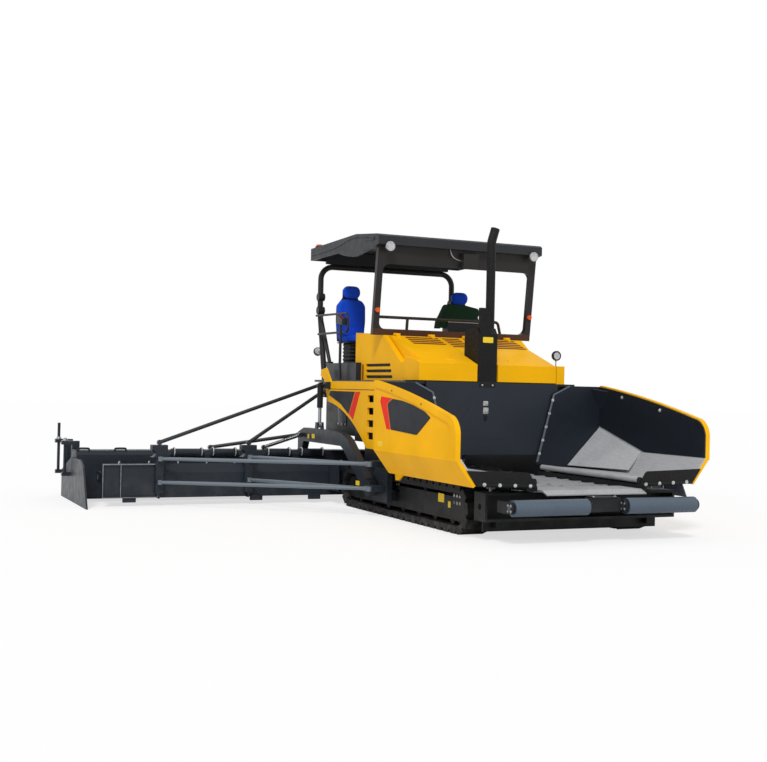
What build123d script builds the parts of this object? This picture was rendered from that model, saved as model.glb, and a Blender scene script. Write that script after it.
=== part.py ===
from build123d import *
import math
import os

# Tracked road paver with a hopper in front, an operator's deck on top and a wide screed behind.
# Millimetres. X runs to the machine's left, Y to its rear and Z up from the ground.
# Y is measured from the hopper's back wall and moved to the middle of the machine when saved.

# Fits
RUNNING_GAP = 0.4
SEAT_GAP = 0.3
SIDE_GAP = 7
PANEL_GAP = 10

# Running gear
TRACK_CENTRE_X = 1080
TRACK_WIDTH = 320
IDLER_Y = -1460
SPROCKET_Y = 1700
LOOP_RADIUS = 275
PAD_HEIGHT = 36
PAD_ROOT = 14
PAD_LENGTH = 128
PAD_COUNT = 46
LINK_HEIGHT = 55
ROLLER_WIDTH = 150
ROLLER_RADIUS = 60
ROLLER_COUNT = 7
CARRIER_RADIUS = 36
AXLE_RADIUS = 20
SPROCKET_TEETH = 21
FRAME_RADIUS = 135
FRAME_PLATE = 20
FRAME_INNER = ROLLER_WIDTH / 2 + PANEL_GAP
FRAME_OUTER = FRAME_INNER + FRAME_PLATE
CARRIER_ARM = 300
CARRIER_ARM_Y = (-800, 900)

# Chassis and deck
CHASSIS_HALF = 820
CHASSIS_WALL = 30
CHASSIS_BOTTOM = 230
CHASSIS_REAR_Y = 2150
TUNNEL_ROOF_Z = 1000
DECK_TOP = 1730
DECK_PLATE = 30
DECK_HALF = 1235
DECK_REAR_Y = 3120
ENGINE_BAY_HALF = 700
ENGINE_HALF = 420
ENGINE_FRONT_Y = 340
ENGINE_LENGTH = 1250
ENGINE_HEIGHT = 860
TANK_OUT = DECK_HALF - 45
TANK_FRONT_Y = 0
TANK_REAR_Y = 1650
TANK_BOTTOM = 900
TANK_WALL = 12
FAIRING_OUT = DECK_HALF + 30
FAIRING_TOP = DECK_TOP - 18
FAIRING_LOW = 830
FAIRING_FRONT_Y = 150
FAIRING_REAR_Y = 2800
FAIRING_FOOT_Y = 1080
FAIRING_HOOK = 190
FOOT_HOLE_Y = 865
FOOT_HOLE_LOW = 950
FOOT_HOLE_WIDTH = 200
FOOT_HOLE_HEIGHT = 92
FOOT_HOLE_PITCH = 163
FOOT_HOLE_COUNT = 4
LOCKER_TOP = DECK_TOP + 245
LOCKER_WALL = 10
LOCKER_FRONT_Y = 1775
LOCKER_REAR_Y = 2930
LOCKER_WIDTH = 76
LOCKER_RAKE = 240

# Conveyors
FLOOR_Z = 520
BED_HEIGHT = 100
BED_PLATE = 20
CONVEYOR_FRONT_Y = -1790
CONVEYOR_REAR_Y = 2060
CONVEYOR_GAP = 70
CHAIN_RADIUS = BED_HEIGHT / 2
CHAIN_LINK = 18
CHAIN_WIDTH = 40
SLAT_COUNT = 14
SLAT_WIDTH = 40
SLAT_HEIGHT = 30

# Hopper
HOPPER_WALL_Y = -60
HOPPER_WALL = 20
HOPPER_FRONT_Y = -2240
WALL_HALF = 960
WALL_LOW = 810
EMBOSS = 4
EMBOSS_X = -120
EMBOSS_LOW = 1012
EMBOSS_TOP = 1420
HINGE_X = 700
RAIL_IN = HINGE_X - 40
HINGE_Z = 650
HINGE_TUBE = 34
HINGE_PIN = 18
HINGE_LUG = 25
HINGE_BITE = 60
HINGE_REAR_Y = -135
RAIL_TOP = 600
RAIL_HEIGHT = 55
WING_REAR_Y = HOPPER_WALL_Y - PANEL_GAP
WING_PANEL = 25
WING_X = 1660
WING_SKIN = 45
WING_RIM = 70
WING_RIM_PROUD = 14
WING_SHELL = 18
WING_TIP_X = 1450
WING_TIP_Z = 590
WING_CREASE_Z = 870
WING_TOP_REAR = 1725
WING_TOP_FRONT = 1360
WING_NOSE = 200
WING_LUG_Y = -320
PANEL_FOOT_X = 630
PANEL_FOOT_Z = 710
PANEL_BEND_X = 870
PANEL_BEND_Z = 1600
PANEL_TOP_X = 1120
GUSSET = 12
GUSSET_TOP = 1160
GUSSET_REACH = 1020
GUSSET_GAP = 8
FLAP = 16
FLAP_TOP = 760
FLAP_LOW = 588
FLAP_ROUND = 60
LIP_FRONT_Y = -2425

# Front beam and push rollers
BEAM_HALF = 1250
BEAM_FRONT_Y = -2150
BEAM_REAR_Y = -1900
BEAM_BOTTOM = 210
BEAM_TOP = 520
BEAM_PLATE = 28
TIE_DOWN_RADIUS = 35
APRON_HALF = 1150
APRON_LOW = 80
PUSH_PIVOT_Y = -2290
PUSH_PIN = 35
PUSH_Z = 400
PUSH_AXIS_Y = -2590
PUSH_RADIUS = 88
PUSH_LENGTH = 920
PUSH_CENTRE_X = 712
PUSH_SHAFT = 30
PUSH_BRACKET = 28
PUSH_BEARING = 62
PUSH_HOUSING_HALF = 200
PUSH_HOUSING_FRONT_Y = -2575
PUSH_HOUSING_TOP = 85
PUSH_BEAM_FRONT_Y = -2430
PUSH_BEAM_DEPTH = 100
PUSH_BEAM_HEIGHT = 120
CLEVIS_HALF = 110

# Wing cylinders
RAM_RADIUS = 38
RAM_ROD = 20
RAM_EYE = 40
RAM_EYE_WIDTH = 40
RAM_PIN = 16
RAM_OPEN_PIN = 10
RAM_OPEN_BORE = 31
RAM_CHEEK = 14
WING_RAM_X = 1000
WING_RAM_Y = -1818
WING_RAM_BASE_Z = 185
WING_RAM_EYE_Z = 570
WING_RAM_BARREL = 300

# Lift cylinders
LIFT_Y = 2450
LIFT_TOP_Z = 1650
LIFT_EYE_Z = 1090
LIFT_RADIUS = 42
LIFT_PIN = 22
LIFT_ROD = 24
LIFT_EYE = 44
LIFT_OPEN_PIN = 14
LIFT_OPEN_BORE = 31
LIFT_BARREL = 320
LIFT_ENGAGE = 60
LIFT_BEAM = 95
LIFT_CHEEK = 18

# Hood and exhaust
HOOD_HALF = DECK_HALF - 175
HOOD_WALL = 22
HOOD_FRONT_TOP = 1955
HOOD_SHOULDER = 1965
HOOD_KNEE_Y = 480
HOOD_HIP_Y = 1060
HOOD_HIP_Z = 2335
HOOD_SEAT_Y = 1160
HOOD_REAR_Y = 1990
HOOD_REAR_Z = 2395
VENT_FRONT_Y = 740
VENT_REAR_Y = 1620
VENT_HEIGHT = 40
VENT_COUNT = 3
VENT_PITCH = 78
VENT_STEP = 35
LID_LEFT_IN = 60
LID_LEFT_OUT = 930
LID_RIGHT_IN = 240
LID_RIGHT_OUT = 975
LID_CORNER_Y = 390
LID_HINGE_Y = HOOD_HIP_Y - 10
LID_HINGE_Z = HOOD_HIP_Z + 18
LID_HINGE_INSET = 110
LID_PIN = 8
LID_KNUCKLE = 14
LID_KNUCKLE_HALF = 25
LID_LUG = 13
LOUVRE_PITCH = 80
LOUVRE_WIDTH = 30
LOUVRES_LEFT = 5
LOUVRES_RIGHT = 4
LOUVRE_INSET = 45
LOUVRE_LENGTH = 480
STACK_HALF = 136
STACK_X = -94
STACK_DEPTH = 390
STACK_TOP = 2680
CASE_TOP = 2347
CASE_REAR_TOP = 2425
SHIELD_HALF = 78
SHIELD_X = -130
SHIELD_DEPTH = 55
PIPE_RADIUS = 58
PIPE_TOP = 3735
PIPE_X = -7
PIPE_Y = 60
PIPE_TIP = 195
PIPE_LEAN = 52

# Canopy and deck fittings
CANOPY_HALF = DECK_HALF + 10
CANOPY_FRONT_Y = 860
CANOPY_REAR_Y = 3365
CANOPY_TOP = 3725
CANOPY_EDGE = CANOPY_TOP - 207
CEILING = CANOPY_TOP - 115
CANOPY_CROWN_Y = 1625
CANOPY_FALL = 35
CANOPY_DIP_Y = 1700
CANOPY_DIP = 98
CANOPY_RISE_Y = 2310
FASCIA = 35
FRONT_FRAME_Y = 1120
FRONT_FRAME_HALF = DECK_HALF - 30
FRAME_LEAN = 7
FRAME_BASE_Z = HOOD_HIP_Z
FRAME_BAR = 85
FRAME_DEPTH = 70
WINDOW_TOP = CANOPY_TOP - 450
CORNER_ROUND = 190
WINDOW_ROUND = 90
HEADER_BOX_X = 135
HEADER_BOX = 230
HEADER_BOX_DEPTH = 90
REAR_HOOP_Y = 3300
REAR_HOOP_HALF = DECK_HALF - 135
REAR_HOOP_TOP = CANOPY_TOP - 295
HOOP_RADIUS = 42
HOOP_BEND = 190
HOOP_FOOT_Y = 3060
STRUT_TOP = 2740
STRUT_FOOT_Y = 2870
STRUT_RADIUS = 28
KNUCKLE_RADIUS = 58
KNUCKLE_STEP = 200
SEAT_X = 885
SEAT_WIDTH = 465
SEAT_FRONT_Y = 2170
SEAT_BACK_Y = 2560
SEAT_TOP = DECK_TOP + 660
SEAT_THICK = 115
SEAT_BACK = 120
SEAT_ROUND = 70
SEAT_BACK_TOP = SEAT_TOP + 520
SEAT_REST_TOP = SEAT_BACK_TOP + 200
REST_WIDTH = 285
CONSOLE_IN = 345
CONSOLE_OUT = 860
CONSOLE_TOP = DECK_TOP + 890
CONSOLE_HEAD = 170
CONSOLE_COLUMN = 180
CONSOLE_FRONT_Y = HOOD_REAR_Y - 60
CONSOLE_REAR_Y = HOOD_REAR_Y + 110
COVER_IN = 200
COVER_LOW = 110
COVER_THICK = 22
COVER_TOP = CONSOLE_TOP + 260
CONTROL_WIDTH = 90
CONTROL_Y = 2200
CONTROL_TOP = 2650
CONTROL_HEIGHT = 150
CONTROL_LENGTH = 210
RAIL_RADIUS = 20
GRAB_Z = 2576
GRAB_POST_X = -695
GRAB_END_X = 690
GUARD_RADIUS = 16
GUARD_FRONT_Y = 2030
GUARD_LOW = 2410
GUARD_TOP = 2690
LAMP_X = 1090
LAMP_RADIUS = 55
LAMP_DEPTH = 50
LAMP_DROP = 28
REAR_LAMP_Z = 2170
REAR_LAMP_Y = 3330
HOOD_LAMP_X = 1000
HOOD_LAMP_Y = 60
MARKER_Z = 2670
BEACON_X = -1150
BEACON_Y = 3270
BEACON_RADIUS = 45
BEACON_TOP = CANOPY_TOP + 25

# Tow arms and braces
TOW_Y = 600
TOW_Z = 350
TOW_PIN = 45
ARM_TOP = 1030
ARM_LOW = 835
ARM_EYE = 100
ARM_CRANK_Y = 1480
ARM_FOOT_Y = 3040
ARM_REAR_Y = 3190
POST_IN = TRACK_CENTRE_X + TRACK_WIDTH / 2 + 20
POST_OUT = POST_IN + 70
ARM_IN = POST_OUT + 20
ARM_OUT = ARM_IN + 100
BRACE_X = ARM_OUT + 40
BRACE_Y = 380
BRACE_Z = (360, 670)
BRACE_RADIUS = 24
BRACE_EYE = 38
BRACE_EYE_HEIGHT = 60
BRACE_SPREAD = 84
BRACE_DROP = 20
STAY_X = DECK_HALF - 5
STAY_Y = 2760
STAY_Z = (1545, 1665)
STAY_RADIUS = 26
STAY_EYE = 34
STAY_EYE_WIDTH = 50
STAY_FEET_X = (2000, 2800)
STAY_FOOT_Y = 3120
STAY_HEAD_Z = 920
STAY_HEAD_STEP = 90

# Auger
SCREED_HALF = 4700
AUGER_Y = 2585
AUGER_Z = 370
AUGER_RADIUS = 205
AUGER_SHAFT = 55
AUGER_STUB = 40
AUGER_PITCH = 400
AUGER_END_X = SCREED_HALF - 270
FLIGHT = 14
CASE_HALF = 130
AUGER_PLATE_Y = 2320
PLATE_LOW = 110
PLATE_TOP = 560
PLATE = 16
PLATE_FOLD = 40
PLATE_END_X = SCREED_HALF - 220
CLAMP_X = (2500, 3735)
CLAMP_TOP = 810
CLAMP_HALF = 105
CLAMP_LOW = 640
CLAMP_DEPTH = 90
FLANGE = 18
FRAME_RIM = 22
FRAME_RIB_X = PLATE_END_X - 240
SKID_X = (1425, 2280, 4030)
SKID_LENGTH = 170
SKID_LOW = 50
SIDE_PLATE_X = 1290
SIDE_PLATE_Y = 1930

# Screed
SCREED_CENTRE_HALF = 1090
SCREED_FRONT_Y = 2950
SCREED_REAR_Y = 3700
SCREED_BOTTOM = 40
SCREED_TOP = 700
SCREED_WALL = 16
SCREED_END_HOLE = 110
MODULES = ((1130, 1525), (1645, 2035), (2455, 2850), (2945, 3405))
MODULE_RADIUS = 62
MODULE_Y = SCREED_FRONT_Y + 20
MODULE_Z = SCREED_TOP - 38
WALKWAY_REAR_Y = 4020
GATE_FRONT_Y = 1990
GATE_REAR_Y = 3960
GATE_TOP = 600
GATE_PLATE = 22
GATE_LIFT = 150
SPINDLE = 20
SPINDLE_X = SCREED_HALF + 90
SPINDLE_Y = (3340, 3880)
SPINDLE_TOP = (850, 1040)

FRONT_Y = PUSH_AXIS_Y - PUSH_RADIUS
ORIGIN_Y = (FRONT_Y + WALKWAY_REAR_Y) / 2


def block(x0, x1, y0, y1, z0, z1):
    """Box between two corners."""
    middle = Pos((x0 + x1) / 2, (y0 + y1) / 2, (z0 + z1) / 2)
    return middle * Box(abs(x1 - x0), abs(y1 - y0), abs(z1 - z0))


def side_face(face, x0, x1):
    """Solid from a flat (y, z) face, from x0 to x1."""
    return Pos(x0, 0, 0) * extrude(Plane.YZ * face, x1 - x0)


def side_plate(points, x0, x1):
    """Plate with an outline of (y, z) points, from x0 to x1."""
    return side_face(make_face(Polyline(*points, close=True)), x0, x1)


def cross_face(face, y0, y1):
    """Solid from a flat (x, z) face, from y0 to y1."""
    return Pos(0, y0, 0) * extrude(Plane.XZ * face, y0 - y1)


def cross_plate(points, y0, y1):
    """Plate with an outline of (x, z) points, from y0 to y1."""
    return cross_face(make_face(Polyline(*points, close=True)), y0, y1)


def rod(start, end, radius):
    """Round bar between two points."""
    axis = Vector(*end) - Vector(*start)
    frame = Plane(origin=start, z_dir=axis)
    return frame * Cylinder(radius, axis.length, align=(Align.CENTER, Align.CENTER, Align.MIN))


def eye_rod(start, end, radius, eye, height, axis):
    """Round bar with an eye at each end, the eyes standing along one axis."""
    bar = rod(start, end, radius)
    half = Vector(*axis) * (height / 2)
    for place in (start, end):
        bar += rod(Vector(*place) - half, Vector(*place) + half, eye)
    return bar


def bent_tube(points, bend, radius):
    """Round tube along straight runs joined by bends of one radius."""
    path = FilletPolyline(*points, radius=bend)
    return sweep(Plane(origin=path @ 0, z_dir=path % 0) * Circle(radius), path=path)


def bent_plate(points, thickness):
    """Outline of a folded plate: one face follows the points, the other lies to their left."""
    steps = [Vector(*b) - Vector(*a) for a, b in zip(points, points[1:])]
    normals = [Vector(-step.Y, step.X).normalized() for step in steps]
    other = []
    for index, point in enumerate(points):
        before = normals[max(index - 1, 0)]
        after = normals[min(index, len(normals) - 1)]
        mitre = (before + after) * (thickness / (1 + before.dot(after)))
        other.append((point[0] + mitre.X, point[1] + mitre.Y))
    return list(points) + other[::-1]


def mirrored(part):
    """The same piece on the machine's right."""
    return mirror(part, about=Plane.YZ)


def both(part):
    """A piece and its twin on the other side."""
    return part + mirrored(part)


def save(name, part):
    export_step(Pos(0, -ORIGIN_Y, 0) * part, f"parts/{name}.step")


def save_pair(name, left):
    save(f"{name}_left", left)
    save(f"{name}_right", mirrored(left))


# Running gear

def loop_place(distance, radius):
    """Place on the track loop: (y, z, angle) at a distance along it."""
    run = SPROCKET_Y - IDLER_Y
    turn = math.pi * radius
    distance %= 2 * (run + turn)
    if distance < run:
        return IDLER_Y + distance, LOOP_RADIUS - radius, -90
    distance -= run
    if distance < turn:
        angle = -90 + math.degrees(distance / radius)
        y = SPROCKET_Y + radius * math.cos(math.radians(angle))
        return y, LOOP_RADIUS + radius * math.sin(math.radians(angle)), angle
    distance -= turn
    if distance < run:
        return SPROCKET_Y - distance, LOOP_RADIUS + radius, 90
    distance -= run
    angle = 90 + math.degrees(distance / radius)
    y = IDLER_Y + radius * math.cos(math.radians(angle))
    return y, LOOP_RADIUS + radius * math.sin(math.radians(angle)), angle


def track_loop():
    """Closed chain of links with a raised pad on every shoe."""
    run = SPROCKET_Y - IDLER_Y
    base = LOOP_RADIUS - PAD_HEIGHT
    middle = Pos((IDLER_Y + SPROCKET_Y) / 2, LOOP_RADIUS)
    chain = middle * SlotCenterToCenter(run, 2 * base)
    chain -= middle * SlotCenterToCenter(run, 2 * (base - LINK_HEIGHT))
    radius = base + (PAD_HEIGHT - PAD_ROOT) / 2
    pitch = 2 * (run + math.pi * radius) / PAD_COUNT
    pads = []
    for index in range(PAD_COUNT):
        y, z, angle = loop_place((index + 0.5) * pitch, radius)
        pads.append(Pos(y, z) * Rot(0, 0, angle) * Rectangle(PAD_HEIGHT + PAD_ROOT, PAD_LENGTH))
    outline = chain + pads
    return Pos(TRACK_CENTRE_X - TRACK_WIDTH / 2, 0, 0) * extrude(Plane.YZ * outline, TRACK_WIDTH)


def wheel(y, z, radius, width):
    """Roller with an axle that ends on the frame plates."""
    half = FRAME_INNER
    x = TRACK_CENTRE_X
    return rod((x - width / 2, y, z), (x + width / 2, y, z), radius) + rod(
        (x - half, y, z), (x + half, y, z), AXLE_RADIUS
    )


def sprocket(inner):
    """Toothed drive wheel inside the rear of the loop."""
    root = inner - 22
    face = Circle(root)
    tooth = 24
    for index in range(SPROCKET_TEETH):
        turn = Rot(0, 0, 360 * index / SPROCKET_TEETH)
        face += turn * Pos(root - 3, 0) * Rectangle(2 * (inner - root), tooth)
    face &= Circle(inner)
    width = ROLLER_WIDTH * 0.6
    at = Pos(TRACK_CENTRE_X - width / 2, SPROCKET_Y, LOOP_RADIUS)
    return at * extrude(Plane.YZ * face, width) + wheel(
        SPROCKET_Y, LOOP_RADIUS, FRAME_RADIUS * 0.6, ROLLER_WIDTH,
    )


def track_wheels():
    inner = LOOP_RADIUS - PAD_HEIGHT - LINK_HEIGHT - RUNNING_GAP
    wheels = sprocket(inner) + wheel(IDLER_Y, LOOP_RADIUS, inner, ROLLER_WIDTH)
    roller_z = LOOP_RADIUS - inner + ROLLER_RADIUS
    carrier_z = LOOP_RADIUS + inner - CARRIER_RADIUS
    clear = inner + ROLLER_RADIUS
    first = IDLER_Y + clear
    span = SPROCKET_Y - IDLER_Y - 2 * clear
    for index in range(ROLLER_COUNT):
        wheels += wheel(first + span * index / (ROLLER_COUNT - 1), roller_z, ROLLER_RADIUS, ROLLER_WIDTH)
    for share in (0.3, 0.7):
        wheels += wheel(IDLER_Y + (SPROCKET_Y - IDLER_Y) * share, carrier_z, CARRIER_RADIUS, ROLLER_WIDTH)
    return wheels


def track_frame():
    """Two side plates on a box beam, with arms that reach the chassis."""
    run = SPROCKET_Y - IDLER_Y
    plate = Pos((IDLER_Y + SPROCKET_Y) / 2, LOOP_RADIUS) * SlotCenterToCenter(run, 2 * FRAME_RADIUS)
    frame = None
    for x in (TRACK_CENTRE_X - FRAME_OUTER, TRACK_CENTRE_X + FRAME_INNER):
        solid = Pos(x, 0, 0) * extrude(Plane.YZ * plate, FRAME_PLATE)
        frame = solid if frame is None else frame + solid
    inner = LOOP_RADIUS - PAD_HEIGHT - LINK_HEIGHT
    beam_low = LOOP_RADIUS - inner + 2 * ROLLER_RADIUS + PANEL_GAP
    beam_high = LOOP_RADIUS + inner - 2 * CARRIER_RADIUS - PANEL_GAP
    ends = inner + 2 * PANEL_GAP
    frame += block(
        TRACK_CENTRE_X - FRAME_INNER, TRACK_CENTRE_X + FRAME_INNER,
        IDLER_Y + ends, SPROCKET_Y - ends, beam_low, beam_high,
    )
    for y in CARRIER_ARM_Y:
        frame += block(
            CHASSIS_HALF, TRACK_CENTRE_X - FRAME_OUTER,
            y - CARRIER_ARM / 2, y + CARRIER_ARM / 2, beam_low, beam_high,
        )
    return frame


# Chassis and body

def chassis_side():
    outline = [
        (BEAM_REAR_Y, CHASSIS_BOTTOM),
        (CHASSIS_REAR_Y, CHASSIS_BOTTOM),
        (CHASSIS_REAR_Y, TUNNEL_ROOF_Z - 40),
        (CHASSIS_REAR_Y + 350, TUNNEL_ROOF_Z + 260),
        (DECK_REAR_Y - 120, TUNNEL_ROOF_Z + 320),
        (DECK_REAR_Y - 120, DECK_TOP - DECK_PLATE),
        (HOPPER_WALL_Y + HOPPER_WALL, DECK_TOP - DECK_PLATE),
        (HOPPER_WALL_Y + HOPPER_WALL, RAIL_TOP),
        (BEAM_REAR_Y, RAIL_TOP),
    ]
    return side_plate(outline, CHASSIS_HALF - CHASSIS_WALL, CHASSIS_HALF)


def chassis_plates():
    """Conveyor bed and the roof of the tunnel behind the hopper."""
    inside = CHASSIS_HALF - CHASSIS_WALL
    clear = CHAIN_RADIUS + CHAIN_LINK + PANEL_GAP
    front, rear = CONVEYOR_FRONT_Y + clear, CONVEYOR_REAR_Y - clear
    bed = block(-inside, inside, front, rear, FLOOR_Z - BED_PLATE, FLOOR_Z)
    bed += block(-inside, inside, front, rear, FLOOR_Z - BED_HEIGHT, FLOOR_Z - BED_HEIGHT + BED_PLATE)
    roof = block(
        -inside, inside, HOPPER_WALL_Y + HOPPER_WALL, CHASSIS_REAR_Y, TUNNEL_ROOF_Z,
        TUNNEL_ROOF_Z + CHASSIS_WALL
    )
    return bed + roof


def conveyor():
    """Two chain strands with slats all the way round."""
    middle_z = FLOOR_Z - BED_HEIGHT / 2
    run = CONVEYOR_REAR_Y - CONVEYOR_FRONT_Y
    middle = Pos((CONVEYOR_FRONT_Y + CONVEYOR_REAR_Y) / 2, middle_z)
    inner = CHAIN_RADIUS + RUNNING_GAP
    ring = middle * SlotCenterToCenter(run, 2 * (inner + CHAIN_LINK))
    ring -= middle * SlotCenterToCenter(run, 2 * inner)
    near = CONVEYOR_GAP / 2
    far = RAIL_IN - PANEL_GAP
    strand = Plane.YZ * ring
    loop = Pos(near, 0, 0) * extrude(strand, CHAIN_WIDTH) + Pos(far - CHAIN_WIDTH, 0, 0) * extrude(
        strand, CHAIN_WIDTH,
    )
    pitch = run / SLAT_COUNT
    for index in range(SLAT_COUNT):
        y = CONVEYOR_FRONT_Y + (index + 0.5) * pitch
        for low in (middle_z + inner, middle_z - inner - SLAT_HEIGHT):
            loop += block(near, far, y - SLAT_WIDTH / 2, y + SLAT_WIDTH / 2, low, low + SLAT_HEIGHT)
    return loop


def conveyor_shafts():
    inside = CHASSIS_HALF - CHASSIS_WALL
    middle_z = FLOOR_Z - BED_HEIGHT / 2
    front = rod((-inside, CONVEYOR_FRONT_Y, middle_z), (inside, CONVEYOR_FRONT_Y, middle_z), CHAIN_RADIUS)
    rear = rod((-inside, CONVEYOR_REAR_Y, middle_z), (inside, CONVEYOR_REAR_Y, middle_z), CHAIN_RADIUS)
    return front + rear


def deck_plate():
    """Deck over the whole body, open where the engine stands."""
    front = HOPPER_WALL_Y + HOPPER_WALL
    deck = block(-DECK_HALF, DECK_HALF, front, DECK_REAR_Y, DECK_TOP - DECK_PLATE, DECK_TOP)
    bay = block(
        -ENGINE_BAY_HALF, ENGINE_BAY_HALF, front + 4 * PANEL_GAP, HOOD_REAR_Y - 6 * PANEL_GAP,
        DECK_TOP - 2 * DECK_PLATE, DECK_TOP + DECK_PLATE,
    )
    return deck - bay


def engine_block():
    base = TUNNEL_ROOF_Z + CHASSIS_WALL
    return block(
        -ENGINE_HALF, ENGINE_HALF, ENGINE_FRONT_Y, ENGINE_FRONT_Y + ENGINE_LENGTH, base,
        base + ENGINE_HEIGHT,
    )


def side_tank():
    """Fuel or oil tank between the chassis and the side cover, closed on top by the deck."""
    top = DECK_TOP - DECK_PLATE
    tank = block(CHASSIS_HALF, TANK_OUT, TANK_FRONT_Y, TANK_REAR_Y, TANK_BOTTOM, top)
    wall = TANK_WALL
    return tank - block(
        CHASSIS_HALF + wall, TANK_OUT - wall, TANK_FRONT_Y + wall, TANK_REAR_Y - wall, TANK_BOTTOM + wall,
        top + 1
    )


def side_fairing():
    """Cover plate behind the wing, arched over the tow arm, with its rear turned up and foot holes."""
    foot = (FAIRING_FOOT_Y, FAIRING_LOW)
    top, rear = FAIRING_TOP, FAIRING_REAR_Y
    crown = (rear - 300, FAIRING_LOW + 594)
    arch = ThreePointArc(foot, (FAIRING_FOOT_Y + 620, FAIRING_LOW + 385), crown)
    rest = Polyline(
        crown, (rear - 135, top + 28), (rear, top + 83), (rear - 20, top + FAIRING_HOOK - 24),
        (rear - 200, top + FAIRING_HOOK), (rear - 385, top), (FAIRING_FRONT_Y, top),
        (FAIRING_FRONT_Y, FAIRING_LOW), foot,
    )
    plate = side_face(make_face(arch + rest), DECK_HALF, FAIRING_OUT)
    near, far = DECK_HALF - 1, FAIRING_OUT + 1
    for index in range(FOOT_HOLE_COUNT):
        z = FOOT_HOLE_LOW + index * FOOT_HOLE_PITCH
        plate -= block(near, far, FOOT_HOLE_Y, FOOT_HOLE_Y + FOOT_HOLE_WIDTH, z, z + FOOT_HOLE_HEIGHT)
    reach = LIFT_BEAM / 2 + PANEL_GAP
    deck_low = DECK_TOP - DECK_PLATE
    return plate - block(
        near, far, LIFT_Y - reach, LIFT_Y + reach, deck_low - LIFT_BEAM - PANEL_GAP, deck_low,
    )


def deck_locker():
    """Narrow sheet locker along the edge of the deck, with a raked rear end."""
    inner = HOOD_HALF + PANEL_GAP / 2
    outer = inner + LOCKER_WIDTH
    front, rear = LOCKER_FRONT_Y, LOCKER_REAR_Y
    wall = LOCKER_WALL
    outline = [(front, DECK_TOP), (front, LOCKER_TOP), (rear, LOCKER_TOP), (rear - LOCKER_RAKE, DECK_TOP)]
    hollow = [
        (front + wall, DECK_TOP - 1), (front + wall, LOCKER_TOP - wall),
        (rear - 2 * wall, LOCKER_TOP - wall),
        (rear - LOCKER_RAKE - 2 * wall, DECK_TOP - 1),
    ]
    return side_plate(outline, inner, outer) - side_plate(hollow, inner + wall, outer - wall)


# Hopper

def hopper_wall():
    """Wall behind the hopper with a pressed panel in its middle."""
    half = WALL_HALF
    wall = block(-half, half, HOPPER_WALL_Y, HOPPER_WALL_Y + HOPPER_WALL, WALL_LOW, DECK_TOP)
    low, waist, top = EMBOSS_LOW, EMBOSS_LOW + 178, EMBOSS_TOP
    outline = [(-330, low), (330, low), (378, waist), (217, top), (-217, top), (-378, waist)]
    panel = cross_plate(outline, HOPPER_WALL_Y - EMBOSS, HOPPER_WALL_Y)
    return wall + Pos(EMBOSS_X, 0, 0) * panel


def hinge_rail():
    """Rail beside the conveyor with a lug and a pin at each end of the wing's hinge tube."""
    rail = block(
        RAIL_IN, CHASSIS_HALF - CHASSIS_WALL, HOPPER_FRONT_Y, HINGE_REAR_Y + HINGE_LUG,
        RAIL_TOP - RAIL_HEIGHT, RAIL_TOP,
    )
    lug_radius = HINGE_TUBE - 2
    for y, inward in ((HOPPER_FRONT_Y, 1), (HINGE_REAR_Y, -1)):
        rail += block(HINGE_X - lug_radius, HINGE_X + lug_radius, y, y + HINGE_LUG, RAIL_TOP, HINGE_Z)
        rail += rod((HINGE_X, y, HINGE_Z), (HINGE_X, y + HINGE_LUG, HINGE_Z), lug_radius)
        face = y + HINGE_LUG if inward > 0 else y
        rail += rod((HINGE_X, face, HINGE_Z), (HINGE_X, face + inward * HINGE_BITE, HINGE_Z), HINGE_PIN)
    return rail


def wing_rim():
    """Outline of a wing seen from the side, with its curved top and rounded front corner."""
    top = ThreePointArc(
        (WING_REAR_Y, WING_TOP_REAR),
        ((WING_REAR_Y + HOPPER_FRONT_Y) / 2 + 80, (WING_TOP_REAR + WING_TOP_FRONT) / 2 + 28),
        (HOPPER_FRONT_Y + WING_NOSE, WING_TOP_FRONT),
    )
    nose = ThreePointArc(
        (HOPPER_FRONT_Y + WING_NOSE, WING_TOP_FRONT),
        (HOPPER_FRONT_Y + WING_NOSE * 0.29, WING_TOP_FRONT - WING_NOSE * 0.36),
        (HOPPER_FRONT_Y, WING_TOP_FRONT - WING_NOSE * 0.95),
    )
    low = WING_TIP_Z - 2 * WING_SKIN
    rest = Polyline(nose @ 1, (HOPPER_FRONT_Y, low), (WING_REAR_Y, low), top @ 0)
    return make_face(top + nose + rest)


def wing_cut(drop):
    """Solid that trims a wing's plates to the side outline, lowered by drop."""
    return Pos(0, 0, -drop) * extrude(Plane.YZ * wing_rim(), WING_X + WING_SKIN)


def wing_skin():
    """Painted outer wall with a raised rim, folded in towards the floor, and the lug under its rear edge."""
    line = [(WING_TIP_X, WING_TIP_Z), (WING_X, WING_CREASE_Z), (WING_X, WING_TOP_REAR + WING_SKIN)]
    skin = cross_plate(bent_plate(line, WING_SKIN), HOPPER_FRONT_Y, WING_REAR_Y) & wing_cut(0)
    band = wing_rim() - Pos(WING_RIM, -WING_RIM) * wing_rim()
    rim = side_face(band, WING_X, WING_X + WING_RIM_PROUD)
    skin += rim & block(
        WING_X, WING_X + WING_RIM, HOPPER_FRONT_Y, WING_REAR_Y, WING_CREASE_Z, WING_TOP_REAR + WING_SKIN
    )
    lug = [
        (WING_LUG_Y - 170, WING_TIP_Z + 12), (WING_LUG_Y - 40, WING_TIP_Z - 70),
        (WING_LUG_Y + 40, WING_TIP_Z - 70),
        (WING_LUG_Y + 60, WING_TIP_Z + 12),
    ]
    return skin + side_plate(lug, WING_TIP_X - 20, WING_TIP_X + 4)


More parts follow.
